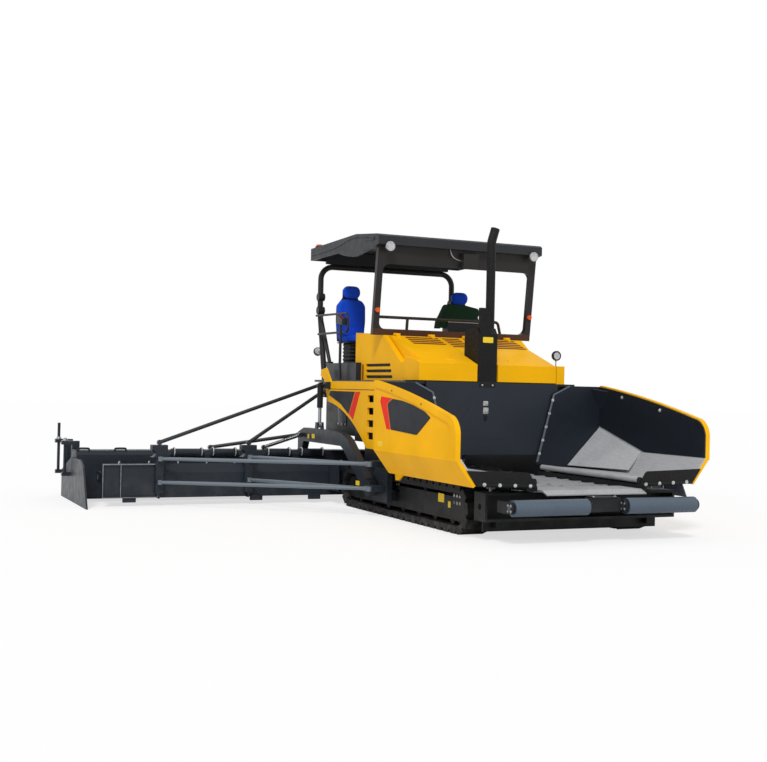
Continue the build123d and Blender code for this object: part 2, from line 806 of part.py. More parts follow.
def corner_gusset(foot, top, nose, ridge_x):
    """Flat plate across the rear corner of a wing, cut off along the floor at ridge_x."""
    normal = (Vector(*top) - Vector(*foot)).cross(Vector(*nose) - Vector(*foot))
    toe = (ridge_x, foot[1] - normal.X * (ridge_x - foot[0]) / normal.Y, foot[2])
    return extrude(make_face(Polyline(foot, top, nose, toe, close=True)), GUSSET)


def wing_shell():
    """Steel floor, inner wall and rear wall of a wing, with its gussets, hinge tube and cylinder lug."""
    line = [(WING_TIP_X, WING_TIP_Z), (WING_X, WING_CREASE_Z), (WING_X, WING_TOP_REAR + WING_SKIN)]
    toe, crease, crown = bent_plate(line, WING_SKIN)[3:][::-1]
    floor_low = HINGE_Z - WING_SHELL / 2
    wall = bent_plate([(HINGE_X, floor_low), toe, crease, crown], WING_SHELL)
    shell = cross_plate(wall, HOPPER_FRONT_Y, WING_REAR_Y)
    top = WING_TOP_REAR - 5
    rear = [
        (HINGE_X + HINGE_PIN, HINGE_Z), (PANEL_FOOT_X, PANEL_FOOT_Z), (PANEL_BEND_X, PANEL_BEND_Z),
        (PANEL_TOP_X, top),
        (crown[0], top), crease, toe,
    ]
    face = WING_REAR_Y - WING_PANEL
    shell += cross_plate(rear, face, WING_REAR_Y)
    side = crease[0] - WING_SHELL + GUSSET / 2
    back = face + GUSSET / 2
    floor = HINGE_Z + WING_SHELL / 2 + GUSSET_GAP
    shell += corner_gusset(
        (PANEL_TOP_X, back, floor), (side, back, GUSSET_TOP), (side, -GUSSET_REACH, WING_CREASE_Z + WING_SHELL),
        toe[0] - WING_SHELL,
    )
    brace = [(side - 150, back, top - 40), (side, back - 250, top - 80), (side, back, top - 370)]
    shell += extrude(make_face(Polyline(*brace, close=True)), GUSSET)
    shell &= wing_cut(15)
    tube_front = HOPPER_FRONT_Y + HINGE_LUG + SIDE_GAP
    tube_rear = HINGE_REAR_Y - SIDE_GAP
    shell -= rod(
        (HINGE_X, HOPPER_FRONT_Y - 1, HINGE_Z), (HINGE_X, tube_front, HINGE_Z), HINGE_TUBE + SIDE_GAP,
    )
    shell -= rod((HINGE_X, tube_rear, HINGE_Z), (HINGE_X, WING_REAR_Y + 1, HINGE_Z), HINGE_TUBE + SIDE_GAP)
    shell += rod((HINGE_X, tube_front, HINGE_Z), (HINGE_X, tube_rear, HINGE_Z), HINGE_TUBE)
    bore = HINGE_PIN + RUNNING_GAP
    shell -= rod((HINGE_X, tube_front - 1, HINGE_Z), (HINGE_X, tube_front + HINGE_BITE, HINGE_Z), bore)
    shell -= rod((HINGE_X, tube_rear - HINGE_BITE, HINGE_Z), (HINGE_X, tube_rear + 1, HINGE_Z), bore)
    return shell + wing_ram_lug(floor_low)


def wing_ram_lug(floor_low):
    """Two cheeks under a wing's floor with the pin of its cylinder."""
    half = RAM_EYE_WIDTH / 2 + SIDE_GAP
    cheek_half = RAM_EYE - 6
    low, high = WING_RAM_EYE_Z - cheek_half, floor_low - PANEL_GAP
    lug = rod(
        (WING_RAM_X, WING_RAM_Y - half, WING_RAM_EYE_Z), (WING_RAM_X, WING_RAM_Y + half, WING_RAM_EYE_Z),
        RAM_OPEN_PIN
    )
    for y in (WING_RAM_Y - half - RAM_CHEEK, WING_RAM_Y + half):
        lug += block(
            WING_RAM_X - cheek_half, WING_RAM_X + cheek_half, y, y + RAM_CHEEK, low, high + PANEL_GAP / 2,
        )
    return lug


def wing_flap():
    """Rubber flap that closes the front of a wing's floor, rounded at its inner top corner."""
    outline = [
        (HINGE_X - HINGE_TUBE, FLAP_LOW - 15), (WING_TIP_X - HINGE_TUBE, FLAP_LOW + 15),
        (WING_X - 122, FLAP_TOP + 12), (HINGE_X + 70, FLAP_TOP - 12),
    ]
    face = make_face(Polyline(*outline, close=True))
    corner = face.vertices().sort_by_distance(outline[3])[0]
    return cross_face(fillet(corner, FLAP_ROUND), HOPPER_FRONT_Y - FLAP, HOPPER_FRONT_Y)


def front_lip():
    """Steel lip over the front beam, bent down towards the push rollers."""
    outline = [
        (BEAM_REAR_Y - PANEL_GAP, BEAM_TOP), (BEAM_REAR_Y - PANEL_GAP, BEAM_TOP + 40),
        (LIP_FRONT_Y + 100, BEAM_TOP + 40),
        (LIP_FRONT_Y, BEAM_TOP), (LIP_FRONT_Y, BEAM_TOP - 12), (LIP_FRONT_Y + 100, BEAM_TOP + 20),
        (BEAM_FRONT_Y, BEAM_TOP + 20), (BEAM_FRONT_Y, BEAM_TOP),
    ]
    half = RAIL_IN - PANEL_GAP
    return side_plate(outline, -half, half)


# Front beam and push rollers

def front_beam():
    """Channel beam with end plates, a clevis for the push beam and brackets for the wing cylinders."""
    channel = [
        (BEAM_FRONT_Y, BEAM_BOTTOM), (BEAM_REAR_Y, BEAM_BOTTOM), (BEAM_REAR_Y, BEAM_TOP),
        (BEAM_FRONT_Y, BEAM_TOP),
        (BEAM_FRONT_Y, BEAM_TOP - BEAM_PLATE), (BEAM_REAR_Y - BEAM_PLATE, BEAM_TOP - BEAM_PLATE),
        (BEAM_REAR_Y - BEAM_PLATE, BEAM_BOTTOM + BEAM_PLATE), (BEAM_FRONT_Y, BEAM_BOTTOM + BEAM_PLATE),
    ]
    beam = side_plate(channel, -BEAM_HALF, BEAM_HALF)
    for x in (-BEAM_HALF, BEAM_HALF - BEAM_PLATE):
        beam += block(x, x + BEAM_PLATE, BEAM_FRONT_Y, BEAM_REAR_Y, BEAM_BOTTOM, BEAM_TOP)
    middle = ((BEAM_FRONT_Y + BEAM_REAR_Y) / 2, (BEAM_BOTTOM + BEAM_TOP) / 2)
    for x in (-BEAM_HALF, BEAM_HALF - BEAM_PLATE):
        beam -= rod((x - 1, *middle), (x + BEAM_PLATE + 1, *middle), TIE_DOWN_RADIUS)
    half = PUSH_BEAM_HEIGHT / 2 + SIDE_GAP
    for z in (PUSH_Z - half - BEAM_PLATE, PUSH_Z + half):
        beam += block(
            -CLEVIS_HALF, CLEVIS_HALF, PUSH_PIVOT_Y - CLEVIS_HALF / 2, BEAM_REAR_Y - BEAM_PLATE, z,
            z + BEAM_PLATE,
        )
    beam += rod((0, PUSH_PIVOT_Y, PUSH_Z - half), (0, PUSH_PIVOT_Y, PUSH_Z + half), PUSH_PIN)
    half = RAM_EYE_WIDTH / 2 + SIDE_GAP
    seat_z = WING_RAM_BASE_Z - RAM_EYE - SIDE_GAP
    rear = WING_RAM_Y + half + RAM_CHEEK
    left, right = WING_RAM_X - RAM_EYE, WING_RAM_X + RAM_EYE
    bracket = block(left, right, BEAM_REAR_Y - 120, WING_RAM_Y - half, seat_z - RAM_CHEEK, BEAM_BOTTOM)
    bracket += block(left, right, WING_RAM_Y - half, rear, seat_z - RAM_CHEEK, seat_z)
    bracket += block(left, right, rear - RAM_CHEEK, rear, seat_z, WING_RAM_BASE_Z + RAM_PIN + RAM_CHEEK)
    bracket += rod(
        (WING_RAM_X, WING_RAM_Y - half, WING_RAM_BASE_Z), (WING_RAM_X, WING_RAM_Y + half, WING_RAM_BASE_Z),
        RAM_PIN,
    )
    apron = block(-APRON_HALF, APRON_HALF, BEAM_REAR_Y - BEAM_PLATE, BEAM_REAR_Y, APRON_LOW, BEAM_BOTTOM)
    return beam + apron + both(bracket)


def push_beam():
    """Swinging beam with a bearing bracket at each end of both push rollers and a housing over its pivot."""
    half_height = PUSH_BEAM_HEIGHT / 2
    low, high = PUSH_Z - half_height, PUSH_Z + half_height
    outer = PUSH_CENTRE_X + PUSH_LENGTH / 2 + SIDE_GAP + PUSH_BRACKET
    inner = PUSH_CENTRE_X - PUSH_LENGTH / 2 - SIDE_GAP - PUSH_BRACKET
    rear = PUSH_BEAM_FRONT_Y + PUSH_BEAM_DEPTH
    beam = block(-outer, outer, PUSH_BEAM_FRONT_Y, rear, low, high)
    tongue = CLEVIS_HALF - 20
    beam += block(-tongue, tongue, rear, PUSH_PIVOT_Y + 60, low, high)
    beam -= rod((0, PUSH_PIVOT_Y, low - 1), (0, PUSH_PIVOT_Y, high + 1), PUSH_PIN + RUNNING_GAP)
    half = PUSH_HOUSING_HALF
    top = PUSH_Z + PUSH_HOUSING_TOP
    beam += block(-half, half, PUSH_HOUSING_FRONT_Y, PUSH_BEAM_FRONT_Y, low, top)
    beam += block(
        -half * 0.8, half * 0.8, PUSH_HOUSING_FRONT_Y - PANEL_GAP, PUSH_BEAM_FRONT_Y + PANEL_GAP, top,
        top + 14,
    )
    brackets = None
    for x in (inner, outer - PUSH_BRACKET):
        bracket = block(
            x, x + PUSH_BRACKET, PUSH_AXIS_Y, PUSH_BEAM_FRONT_Y, PUSH_Z - PUSH_BEARING,
            PUSH_Z + PUSH_BEARING,
        )
        bracket += rod((x, PUSH_AXIS_Y, PUSH_Z), (x + PUSH_BRACKET, PUSH_AXIS_Y, PUSH_Z), PUSH_BEARING)
        brackets = bracket if brackets is None else brackets + bracket
    brackets -= rod(
        (inner - 1, PUSH_AXIS_Y, PUSH_Z), (outer + 1, PUSH_AXIS_Y, PUSH_Z), PUSH_SHAFT + RUNNING_GAP,
    )
    return beam + both(brackets)


def push_roller():
    ends = SIDE_GAP + PUSH_BRACKET + SIDE_GAP
    left = PUSH_CENTRE_X - PUSH_LENGTH / 2
    right = PUSH_CENTRE_X + PUSH_LENGTH / 2
    barrel = rod((left, PUSH_AXIS_Y, PUSH_Z), (right, PUSH_AXIS_Y, PUSH_Z), PUSH_RADIUS)
    return barrel + rod((left - ends, PUSH_AXIS_Y, PUSH_Z), (right + ends, PUSH_AXIS_Y, PUSH_Z), PUSH_SHAFT)


# Hydraulic cylinders

def wing_barrel():
    """Barrel of a wing cylinder with its eye below, (x, z) fixed by the base pin."""
    x, y, base = WING_RAM_X, WING_RAM_Y, WING_RAM_BASE_Z
    half = RAM_EYE_WIDTH / 2
    foot = base + RAM_EYE + SIDE_GAP
    top = base + WING_RAM_BARREL
    barrel = rod((x, y, foot), (x, y, top), RAM_RADIUS) + rod((x, y, base), (x, y, foot), half)
    barrel += rod((x, y - half, base), (x, y + half, base), RAM_EYE)
    barrel -= rod((x, y - RAM_RADIUS, base), (x, y + RAM_RADIUS, base), RAM_PIN + RUNNING_GAP)
    return barrel - rod((x, y, foot + RAM_CHEEK), (x, y, top + 1), RAM_ROD + RUNNING_GAP)


def wing_rod():
    half = RAM_EYE_WIDTH / 2
    low = (WING_RAM_X, WING_RAM_Y, WING_RAM_BASE_Z + RAM_EYE + SIDE_GAP + RAM_CHEEK + SIDE_GAP)
    bar = rod(low, (WING_RAM_X, WING_RAM_Y, WING_RAM_EYE_Z), RAM_ROD)
    bar += rod(
        (WING_RAM_X, WING_RAM_Y - half, WING_RAM_EYE_Z), (WING_RAM_X, WING_RAM_Y + half, WING_RAM_EYE_Z),
        RAM_EYE,
    )
    return bar - rod(
        (WING_RAM_X, WING_RAM_Y - 99, WING_RAM_EYE_Z), (WING_RAM_X, WING_RAM_Y + 99, WING_RAM_EYE_Z),
        RAM_OPEN_BORE
    )


def lift_beam():
    """Cross beam under the deck with the upper pin of the lift cylinder."""
    top = DECK_TOP - DECK_PLATE
    beam = block(
        CHASSIS_HALF, ARM_IN - PANEL_GAP, LIFT_Y - LIFT_BEAM / 2, LIFT_Y + LIFT_BEAM / 2, top - LIFT_BEAM,
        top,
    )
    return beam + rod((ARM_IN - PANEL_GAP, LIFT_Y, LIFT_TOP_Z), (ARM_OUT, LIFT_Y, LIFT_TOP_Z), LIFT_PIN)


def lift_barrel():
    x = (ARM_IN + ARM_OUT) / 2
    half = RAM_EYE_WIDTH / 2
    low = LIFT_TOP_Z - LIFT_BARREL
    barrel = rod((x, LIFT_Y, low), (x, LIFT_Y, LIFT_TOP_Z), LIFT_RADIUS)
    barrel += rod((x - half, LIFT_Y, LIFT_TOP_Z), (x + half, LIFT_Y, LIFT_TOP_Z), LIFT_RADIUS)
    barrel -= rod((x - 99, LIFT_Y, LIFT_TOP_Z), (x + 99, LIFT_Y, LIFT_TOP_Z), LIFT_PIN + RUNNING_GAP)
    return barrel - rod(
        (x, LIFT_Y, low - 1), (x, LIFT_Y, LIFT_TOP_Z - LIFT_RADIUS - 6), LIFT_ROD + RUNNING_GAP,
    )


def lift_rod():
    x = (ARM_IN + ARM_OUT) / 2
    half = RAM_EYE_WIDTH / 2
    top = LIFT_TOP_Z - LIFT_BARREL + LIFT_ENGAGE
    bar = rod((x, LIFT_Y, LIFT_EYE_Z), (x, LIFT_Y, top), LIFT_ROD)
    bar += rod((x - half, LIFT_Y, LIFT_EYE_Z), (x + half, LIFT_Y, LIFT_EYE_Z), LIFT_EYE)
    return bar - rod((x - 99, LIFT_Y, LIFT_EYE_Z), (x + 99, LIFT_Y, LIFT_EYE_Z), LIFT_OPEN_BORE)


# Hood and exhaust

def hood_side():
    """Side outline of the hood, (y, z)."""
    return [
        (HOPPER_WALL_Y, DECK_TOP), (HOPPER_WALL_Y, HOOD_SHOULDER), (HOOD_KNEE_Y, HOOD_SHOULDER),
        (HOOD_HIP_Y, HOOD_HIP_Z), (HOOD_SEAT_Y, HOOD_HIP_Z), (HOOD_REAR_Y, HOOD_REAR_Z),
        (HOOD_REAR_Y, DECK_TOP),
    ]


def hood_shell():
    """Folded sheet hood, open under the two lids, with rounded vent slots in each side."""
    shell = side_plate(hood_side(), -HOOD_HALF, HOOD_HALF)
    wall = HOOD_WALL
    hollow = [
        (HOPPER_WALL_Y + wall, DECK_TOP - 1), (HOPPER_WALL_Y + wall, HOOD_SHOULDER - wall),
        (HOOD_KNEE_Y + wall / 3, HOOD_SHOULDER - wall), (HOOD_HIP_Y + wall / 3, HOOD_HIP_Z - wall),
        (HOOD_SEAT_Y, HOOD_HIP_Z - wall), (HOOD_REAR_Y - wall, HOOD_REAR_Z - wall),
        (HOOD_REAR_Y - wall, DECK_TOP - 1),
    ]
    shell -= side_plate(hollow, wall - HOOD_HALF, HOOD_HALF - wall)
    front, low, high = HOPPER_WALL_Y - 1, DECK_TOP - 1, HOOD_REAR_Z
    right, left = -LID_RIGHT_OUT - PANEL_GAP, LID_LEFT_OUT + PANEL_GAP
    shell -= block(right, left, front, HOOD_HIP_Y, low, high)
    shell -= block(-HOOD_HALF - 1, right + 1, front, LID_CORNER_Y + PANEL_GAP, low, high)
    for index in range(VENT_COUNT):
        near = VENT_FRONT_Y + index * VENT_STEP
        z = DECK_TOP + 50 + index * VENT_PITCH
        slot = Pos((near + VENT_REAR_Y) / 2, z) * SlotOverall(VENT_REAR_Y - near, VENT_HEIGHT)
        shell -= both(side_face(slot, HOOD_HALF - 2 * wall, HOOD_HALF + 1))
    rise = (HOOD_HIP_Z - HOOD_FRONT_TOP) / (HOOD_HIP_Y - HOPPER_WALL_Y)
    start = HOPPER_WALL_Y + STACK_DEPTH
    spine = bent_plate([(start, HOOD_FRONT_TOP + rise * STACK_DEPTH), (HOOD_HIP_Y, HOOD_HIP_Z)], -wall)
    shell += side_plate(spine, PANEL_GAP - LID_RIGHT_IN, LID_LEFT_IN - PANEL_GAP)
    for x in (LID_LEFT_IN + LID_HINGE_INSET, LID_LEFT_OUT - LID_HINGE_INSET):
        shell += lid_hinge(x)
    for x in (LID_RIGHT_IN + LID_HINGE_INSET, LID_RIGHT_OUT - LID_HINGE_INSET):
        shell += lid_hinge(-x)
    return shell


def lid_hinge(x):
    """Two lugs on the hood's top edge with the pin of one lid hinge."""
    half = LID_KNUCKLE_HALF + SIDE_GAP
    rear = HOOD_HIP_Y + 12
    top = LID_HINGE_Z + LID_KNUCKLE
    lug = [
        (HOOD_HIP_Y + 2, HOOD_HIP_Z), (rear, HOOD_HIP_Z), (rear, top), (LID_HINGE_Y - LID_KNUCKLE, top),
        (LID_HINGE_Y - LID_KNUCKLE, LID_HINGE_Z - LID_KNUCKLE), (HOOD_HIP_Y + 2, LID_HINGE_Z - LID_KNUCKLE),
    ]
    hinge = side_plate(lug, x - half - LID_LUG, x - half) + side_plate(lug, x + half, x + half + LID_LUG)
    return hinge + rod((x - half, LID_HINGE_Y, LID_HINGE_Z), (x + half, LID_HINGE_Y, LID_HINGE_Z), LID_PIN)


def lid_corner(outer, low):
    """Corner of the right lid, wrapped round to the side of the hood."""
    front, rear, top = HOPPER_WALL_Y, LID_CORNER_Y, HOOD_FRONT_TOP
    line = [(front, low), (front, top), (front + 110, top + 40), (rear, top + 90)]
    corner = side_plate(bent_plate(line, -HOOD_WALL), outer - HOOD_WALL, HOOD_HALF)
    return corner + side_plate(line + [(rear, low)], HOOD_HALF - HOOD_WALL, HOOD_HALF)


def hood_lid(inner, outer, louvres, wraps):
    """Ramp-shaped lid with its front face, cheeks, louvres and hinge knuckles."""
    front = HOPPER_WALL_Y
    rear = HOOD_HIP_Y - PANEL_GAP
    rise = (HOOD_HIP_Z - HOOD_FRONT_TOP) / (HOOD_HIP_Y - HOPPER_WALL_Y)
    low = DECK_TOP + PANEL_GAP
    high = HOOD_HIP_Z - rise * PANEL_GAP
    line = [(front, low), (front, HOOD_FRONT_TOP), (rear, high)]
    lid = side_plate(bent_plate(line, -HOOD_WALL), inner, outer)
    cheek = [
        (front, low), (front, HOOD_FRONT_TOP), (rear, high), (rear, high - HOOD_WALL),
        (HOOD_KNEE_Y, HOOD_SHOULDER - 20), (front + 60, HOOD_SHOULDER - 80), (front + 60, low),
    ]
    lid += side_plate(cheek, inner, inner + HOOD_WALL)
    lid += side_plate(cheek, outer - HOOD_WALL, outer)
    if wraps:
        lid += lid_corner(outer, low)
    for index in range(louvres):
        y = rear - (index + 1) * LOUVRE_PITCH
        z = HOOD_FRONT_TOP + rise * (y - front)
        x = inner + LOUVRE_INSET
        lid -= block(x, x + LOUVRE_LENGTH, y, y + LOUVRE_WIDTH, z - 60, z + 60)
    for x in (inner + LID_HINGE_INSET, outer - LID_HINGE_INSET):
        left, right = x - LID_KNUCKLE_HALF, x + LID_KNUCKLE_HALF
        tongue = [
            (LID_HINGE_Y, LID_HINGE_Z + 6), (LID_HINGE_Y, LID_HINGE_Z - 6),
            (rear - 40, high - 15 - HOOD_WALL / 2),
            (rear - 70, high - 25 - HOOD_WALL / 2), (rear - 70, high),
        ]
        knuckle = side_plate(tongue, left, right)
        knuckle += rod((left, LID_HINGE_Y, LID_HINGE_Z), (right, LID_HINGE_Y, LID_HINGE_Z), LID_KNUCKLE)
        lid += knuckle - rod(
            (left - 1, LID_HINGE_Y, LID_HINGE_Z), (right + 1, LID_HINGE_Y, LID_HINGE_Z),
            LID_PIN + RUNNING_GAP
        )
    return lid


def exhaust_stack():
    """Silencer case between the lids, a narrow shield on it and a pipe bent at its tip."""
    front = HOPPER_WALL_Y + 2
    rear = HOPPER_WALL_Y + STACK_DEPTH - PANEL_GAP
    case = [
        (front, DECK_TOP), (front, CASE_TOP), (front + SHIELD_DEPTH, CASE_REAR_TOP),
        (rear - 60, CASE_REAR_TOP),
        (rear, CASE_REAR_TOP - 60), (rear, DECK_TOP),
    ]
    stack = side_plate(case, STACK_X - STACK_HALF, STACK_X + STACK_HALF)
    stack += block(
        SHIELD_X - SHIELD_HALF, SHIELD_X + SHIELD_HALF, front, front + SHIELD_DEPTH, DECK_TOP, STACK_TOP,
    )
    bend = PIPE_TOP - PIPE_TIP
    route = [
        (PIPE_X, PIPE_Y, CASE_REAR_TOP - 5), (PIPE_X, PIPE_Y, bend),
        (PIPE_X + PIPE_LEAN, PIPE_Y, PIPE_TOP - 20),
    ]
    return stack + bent_tube(route, 2 * PIPE_RADIUS, PIPE_RADIUS)


# Canopy and deck fittings

def canopy_roof():
    """Roof tray with shaped side fascias and a rib over the rear hoop."""
    front, rear, top, edge = CANOPY_FRONT_Y, CANOPY_REAR_Y, CANOPY_TOP, CANOPY_EDGE
    dip = (CANOPY_DIP_Y, edge - CANOPY_DIP)
    rise = (CANOPY_RISE_Y, edge + 12)
    sag = ThreePointArc((front, edge), ((front + CANOPY_DIP_Y) / 2, edge - CANOPY_DIP * 0.62), dip)
    swell = ThreePointArc(dip, (CANOPY_DIP_Y + 380, edge - CANOPY_DIP * 0.45), rise)
    rest = Polyline(
        rise, (rear, edge - 5), (rear, top - CANOPY_FALL), (CANOPY_CROWN_Y, top), (front + 40, top - 70),
        (front, top - 95), (front, edge),
    )
    roof = side_face(make_face(sag + swell + rest), -CANOPY_HALF, CANOPY_HALF)
    half = CANOPY_HALF - FASCIA
    low = edge - 2 * CANOPY_DIP
    hollow = [
        (front + FASCIA, low), (front + FASCIA, CEILING), (FRONT_FRAME_Y - 90, CEILING),
        (CANOPY_CROWN_Y, top - FASCIA), (rear - FASCIA, top - CANOPY_FALL - FASCIA), (rear - FASCIA, low),
    ]
    roof -= side_plate(hollow, -half, half)
    rib_low = REAR_HOOP_TOP + HOOP_RADIUS + SEAT_GAP
    reach = half - HOOP_BEND
    return roof + block(-reach, reach, REAR_HOOP_Y - 30, REAR_HOOP_Y + 30, rib_low, top - FASCIA)


def leaning(part):
    """Place a piece of the front frame: its own z runs up the leaning frame from the hood."""
    return Pos(0, FRONT_FRAME_Y, FRAME_BASE_Z) * Rot(FRAME_LEAN, 0, 0) * part


def up_frame(z):
    """Distance along the leaning frame of a height above the ground."""
    return (z - FRAME_BASE_Z) / math.cos(math.radians(FRAME_LEAN))


def canopy_front_frame():
    """Welded frame with rounded corners that leans forward from the hood, and a box under its header."""
    high = up_frame(CEILING) + FRAME_DEPTH
    frame = Pos(0, high / 2) * RectangleRounded(2 * FRONT_FRAME_HALF, high, CORNER_ROUND)
    frame += Pos(0, CORNER_ROUND / 2) * Rectangle(2 * FRONT_FRAME_HALF, CORNER_ROUND)
    window_high = up_frame(WINDOW_TOP) - FRAME_BAR
    window = Pos(0, FRAME_BAR + window_high / 2)
    frame -= window * RectangleRounded(2 * (FRONT_FRAME_HALF - FRAME_BAR), window_high, WINDOW_ROUND)
    solid = cross_face(frame, -FRAME_DEPTH / 2, FRAME_DEPTH / 2)
    low = up_frame(WINDOW_TOP) + PANEL_GAP
    half = HEADER_BOX / 2
    solid += block(
        HEADER_BOX_X - half, HEADER_BOX_X + half, -FRAME_DEPTH / 2 - HEADER_BOX_DEPTH, 0, low,
        low + HEADER_BOX - 30
    )
    reach = CANOPY_REAR_Y
    room = block(-reach, reach, 0, reach, FRAME_BASE_Z, CEILING)
    return leaning(solid) & room


def canopy_rear_hoop():
    """Bent tube hoop on raked legs, with knuckles at their bend and a strut to each locker."""
    half, bend = REAR_HOOP_HALF, STRUT_TOP
    hoop = bent_tube(
        [(-half, HOOP_FOOT_Y, DECK_TOP), (-half, REAR_HOOP_Y, bend), (-half, REAR_HOOP_Y, REAR_HOOP_TOP),
         (half, REAR_HOOP_Y, REAR_HOOP_TOP), (half, REAR_HOOP_Y, bend), (half, HOOP_FOOT_Y, DECK_TOP)],
        HOOP_BEND, HOOP_RADIUS,
    )
    hoop &= block(-2 * half, 2 * half, 0, 2 * REAR_HOOP_Y, DECK_TOP, CANOPY_TOP)
    strut = rod((half, REAR_HOOP_Y - 20, bend - 40), (half, STRUT_FOOT_Y, LOCKER_TOP + 15), STRUT_RADIUS)
    pad = STRUT_RADIUS + PANEL_GAP
    strut += block(half - pad, half + pad, STRUT_FOOT_Y - 50, STRUT_FOOT_Y + 50, LOCKER_TOP, LOCKER_TOP + 25)
    width = HOOP_RADIUS + 8
    for z in (bend + 30, bend + 30 + KNUCKLE_STEP):
        strut += rod(
            (half - width, REAR_HOOP_Y - 15, z), (half + width, REAR_HOOP_Y - 15, z), KNUCKLE_RADIUS,
        )
    return hoop + both(strut)


def seat():
    """Cushion, back and head rest of one seat."""
    half = SEAT_WIDTH / 2
    low = SEAT_TOP - SEAT_THICK
    cushion = block(SEAT_X - half, SEAT_X + half, SEAT_FRONT_Y, SEAT_BACK_Y, low, SEAT_TOP)
    back = Pos(SEAT_X, (low + SEAT_BACK_TOP) / 2) * RectangleRounded(
        SEAT_WIDTH, SEAT_BACK_TOP - low, SEAT_ROUND,
    )
    rest_high = SEAT_REST_TOP - SEAT_BACK_TOP
    rest = Pos(SEAT_X, SEAT_BACK_TOP + rest_high / 2) * RectangleRounded(REST_WIDTH, rest_high, SEAT_ROUND)
    pads = cross_face(back, SEAT_BACK_Y, SEAT_BACK_Y + SEAT_BACK)
    return cushion + pads + cross_face(rest, SEAT_BACK_Y + PANEL_GAP, SEAT_BACK_Y + SEAT_BACK - PANEL_GAP)


def deck_fittings():
    """Seat pedestals, the operator's console on its column and the control box at the right."""
    pedestal = block(
        SEAT_X - 110, SEAT_X + 110, SEAT_FRONT_Y + 80, SEAT_BACK_Y - 60, DECK_TOP, SEAT_TOP - SEAT_THICK
    )
    head_low = CONSOLE_TOP - CONSOLE_HEAD
    console = block(CONSOLE_IN, CONSOLE_OUT, CONSOLE_FRONT_Y, CONSOLE_REAR_Y, head_low, CONSOLE_TOP)
    console += block(
        CONSOLE_IN, CONSOLE_IN + CONSOLE_COLUMN, HOOD_REAR_Y + PANEL_GAP, CONSOLE_REAR_Y, DECK_TOP, head_low
    )
    outer = DECK_HALF
    inner = outer - CONTROL_WIDTH
    low = CONTROL_TOP - CONTROL_HEIGHT
    outline = [
        (CONTROL_Y - CONTROL_LENGTH / 2, low), (CONTROL_Y + CONTROL_LENGTH / 2, low + 30),
        (CONTROL_Y + CONTROL_LENGTH / 2, CONTROL_TOP), (CONTROL_Y - CONTROL_LENGTH / 2, CONTROL_TOP - 60),
    ]
    middle = outer - RAIL_RADIUS - PANEL_GAP / 2
    control = side_plate(outline, inner, outer)
    control += rod((middle, CONTROL_Y, DECK_TOP), (middle, CONTROL_Y, low + 40), RAIL_RADIUS)
    return both(pedestal) + console + mirrored(control)


def console_cover():
    """Cloth cover laid over the console's head, hanging down at its inner end."""
    low = CONSOLE_TOP + SEAT_GAP
    inner = CONSOLE_IN - COVER_THICK
    outline = [
        (inner, CONSOLE_TOP - COVER_LOW), (inner, low), (CONSOLE_OUT + 10, low),
        (CONSOLE_OUT, COVER_TOP - 60),
        (CONSOLE_IN + 250, COVER_TOP), (CONSOLE_IN, COVER_TOP - 10), (COVER_IN + 30, low),
        (COVER_IN, CONSOLE_TOP - COVER_LOW),
    ]
    return cross_plate(outline, CONSOLE_FRONT_Y - 15, CONSOLE_REAR_Y + 15)


def handrails():
    """Grab rail inside the front frame and a looped guard rail beside each seat."""
    inside = FRONT_FRAME_HALF - FRAME_BAR
    grab = up_frame(GRAB_Z)
    rail = bent_tube(
        [(-inside, 0, grab), (GRAB_END_X, 0, grab), (GRAB_END_X + 50, 0, FRAME_BAR)], 60, RAIL_RADIUS,
    )
    rail += rod((GRAB_POST_X, 0, FRAME_BAR), (GRAB_POST_X, 0, grab), RAIL_RADIUS)
    rail -= block(-inside, inside, -FRAME_BAR, FRAME_BAR, 0, FRAME_BAR + SEAT_GAP)
    x = REAR_HOOP_HALF + HOOP_RADIUS + GUARD_RADIUS + SEAT_GAP
    rear = REAR_HOOP_Y
    guard = bent_tube(
        [(x, rear, GUARD_TOP), (x, GUARD_FRONT_Y + 40, GUARD_TOP - 20), (x, GUARD_FRONT_Y, GUARD_LOW),
         (x, rear - 90, GUARD_LOW)],
        80, GUARD_RADIUS,
    )
    return leaning(rail) + both(guard)


def work_lamps():
    """Round lamps under the canopy's front edge, behind the rear hoop and on the hood's corner."""
    z = CANOPY_EDGE - LAMP_DROP
    front = rod((LAMP_X, CANOPY_FRONT_Y - LAMP_DEPTH, z), (LAMP_X, CANOPY_FRONT_Y, z), LAMP_RADIUS)
    x, y, low = REAR_HOOP_HALF, REAR_LAMP_Y, REAR_LAMP_Z
    slope = (REAR_HOOP_Y - HOOP_FOOT_Y) / (STRUT_TOP - DECK_TOP)
    leg_y = HOOP_FOOT_Y + slope * (low + RAIL_RADIUS - DECK_TOP) + HOOP_RADIUS / math.cos(math.atan(slope))
    rear = rod((x, leg_y + SEAT_GAP, low), (x, y, low), RAIL_RADIUS)
    rear += rod((x, y - LAMP_DEPTH / 2, low), (x, y + LAMP_DEPTH, low - 15), LAMP_RADIUS)
    stalk_top = HOOD_SHOULDER + 95
    lamp = rod(
        (HOOD_LAMP_X, HOOD_LAMP_Y, HOOD_SHOULDER), (HOOD_LAMP_X, HOOD_LAMP_Y, stalk_top), RAIL_RADIUS / 2,
    )
    lamp += rod(
        (HOOD_LAMP_X, HOOD_LAMP_Y - LAMP_DEPTH / 2, stalk_top + 45),
        (HOOD_LAMP_X, HOOD_LAMP_Y + LAMP_DEPTH / 2, stalk_top + 45),
        LAMP_RADIUS,
    )
    return both(front) + both(rear) + lamp


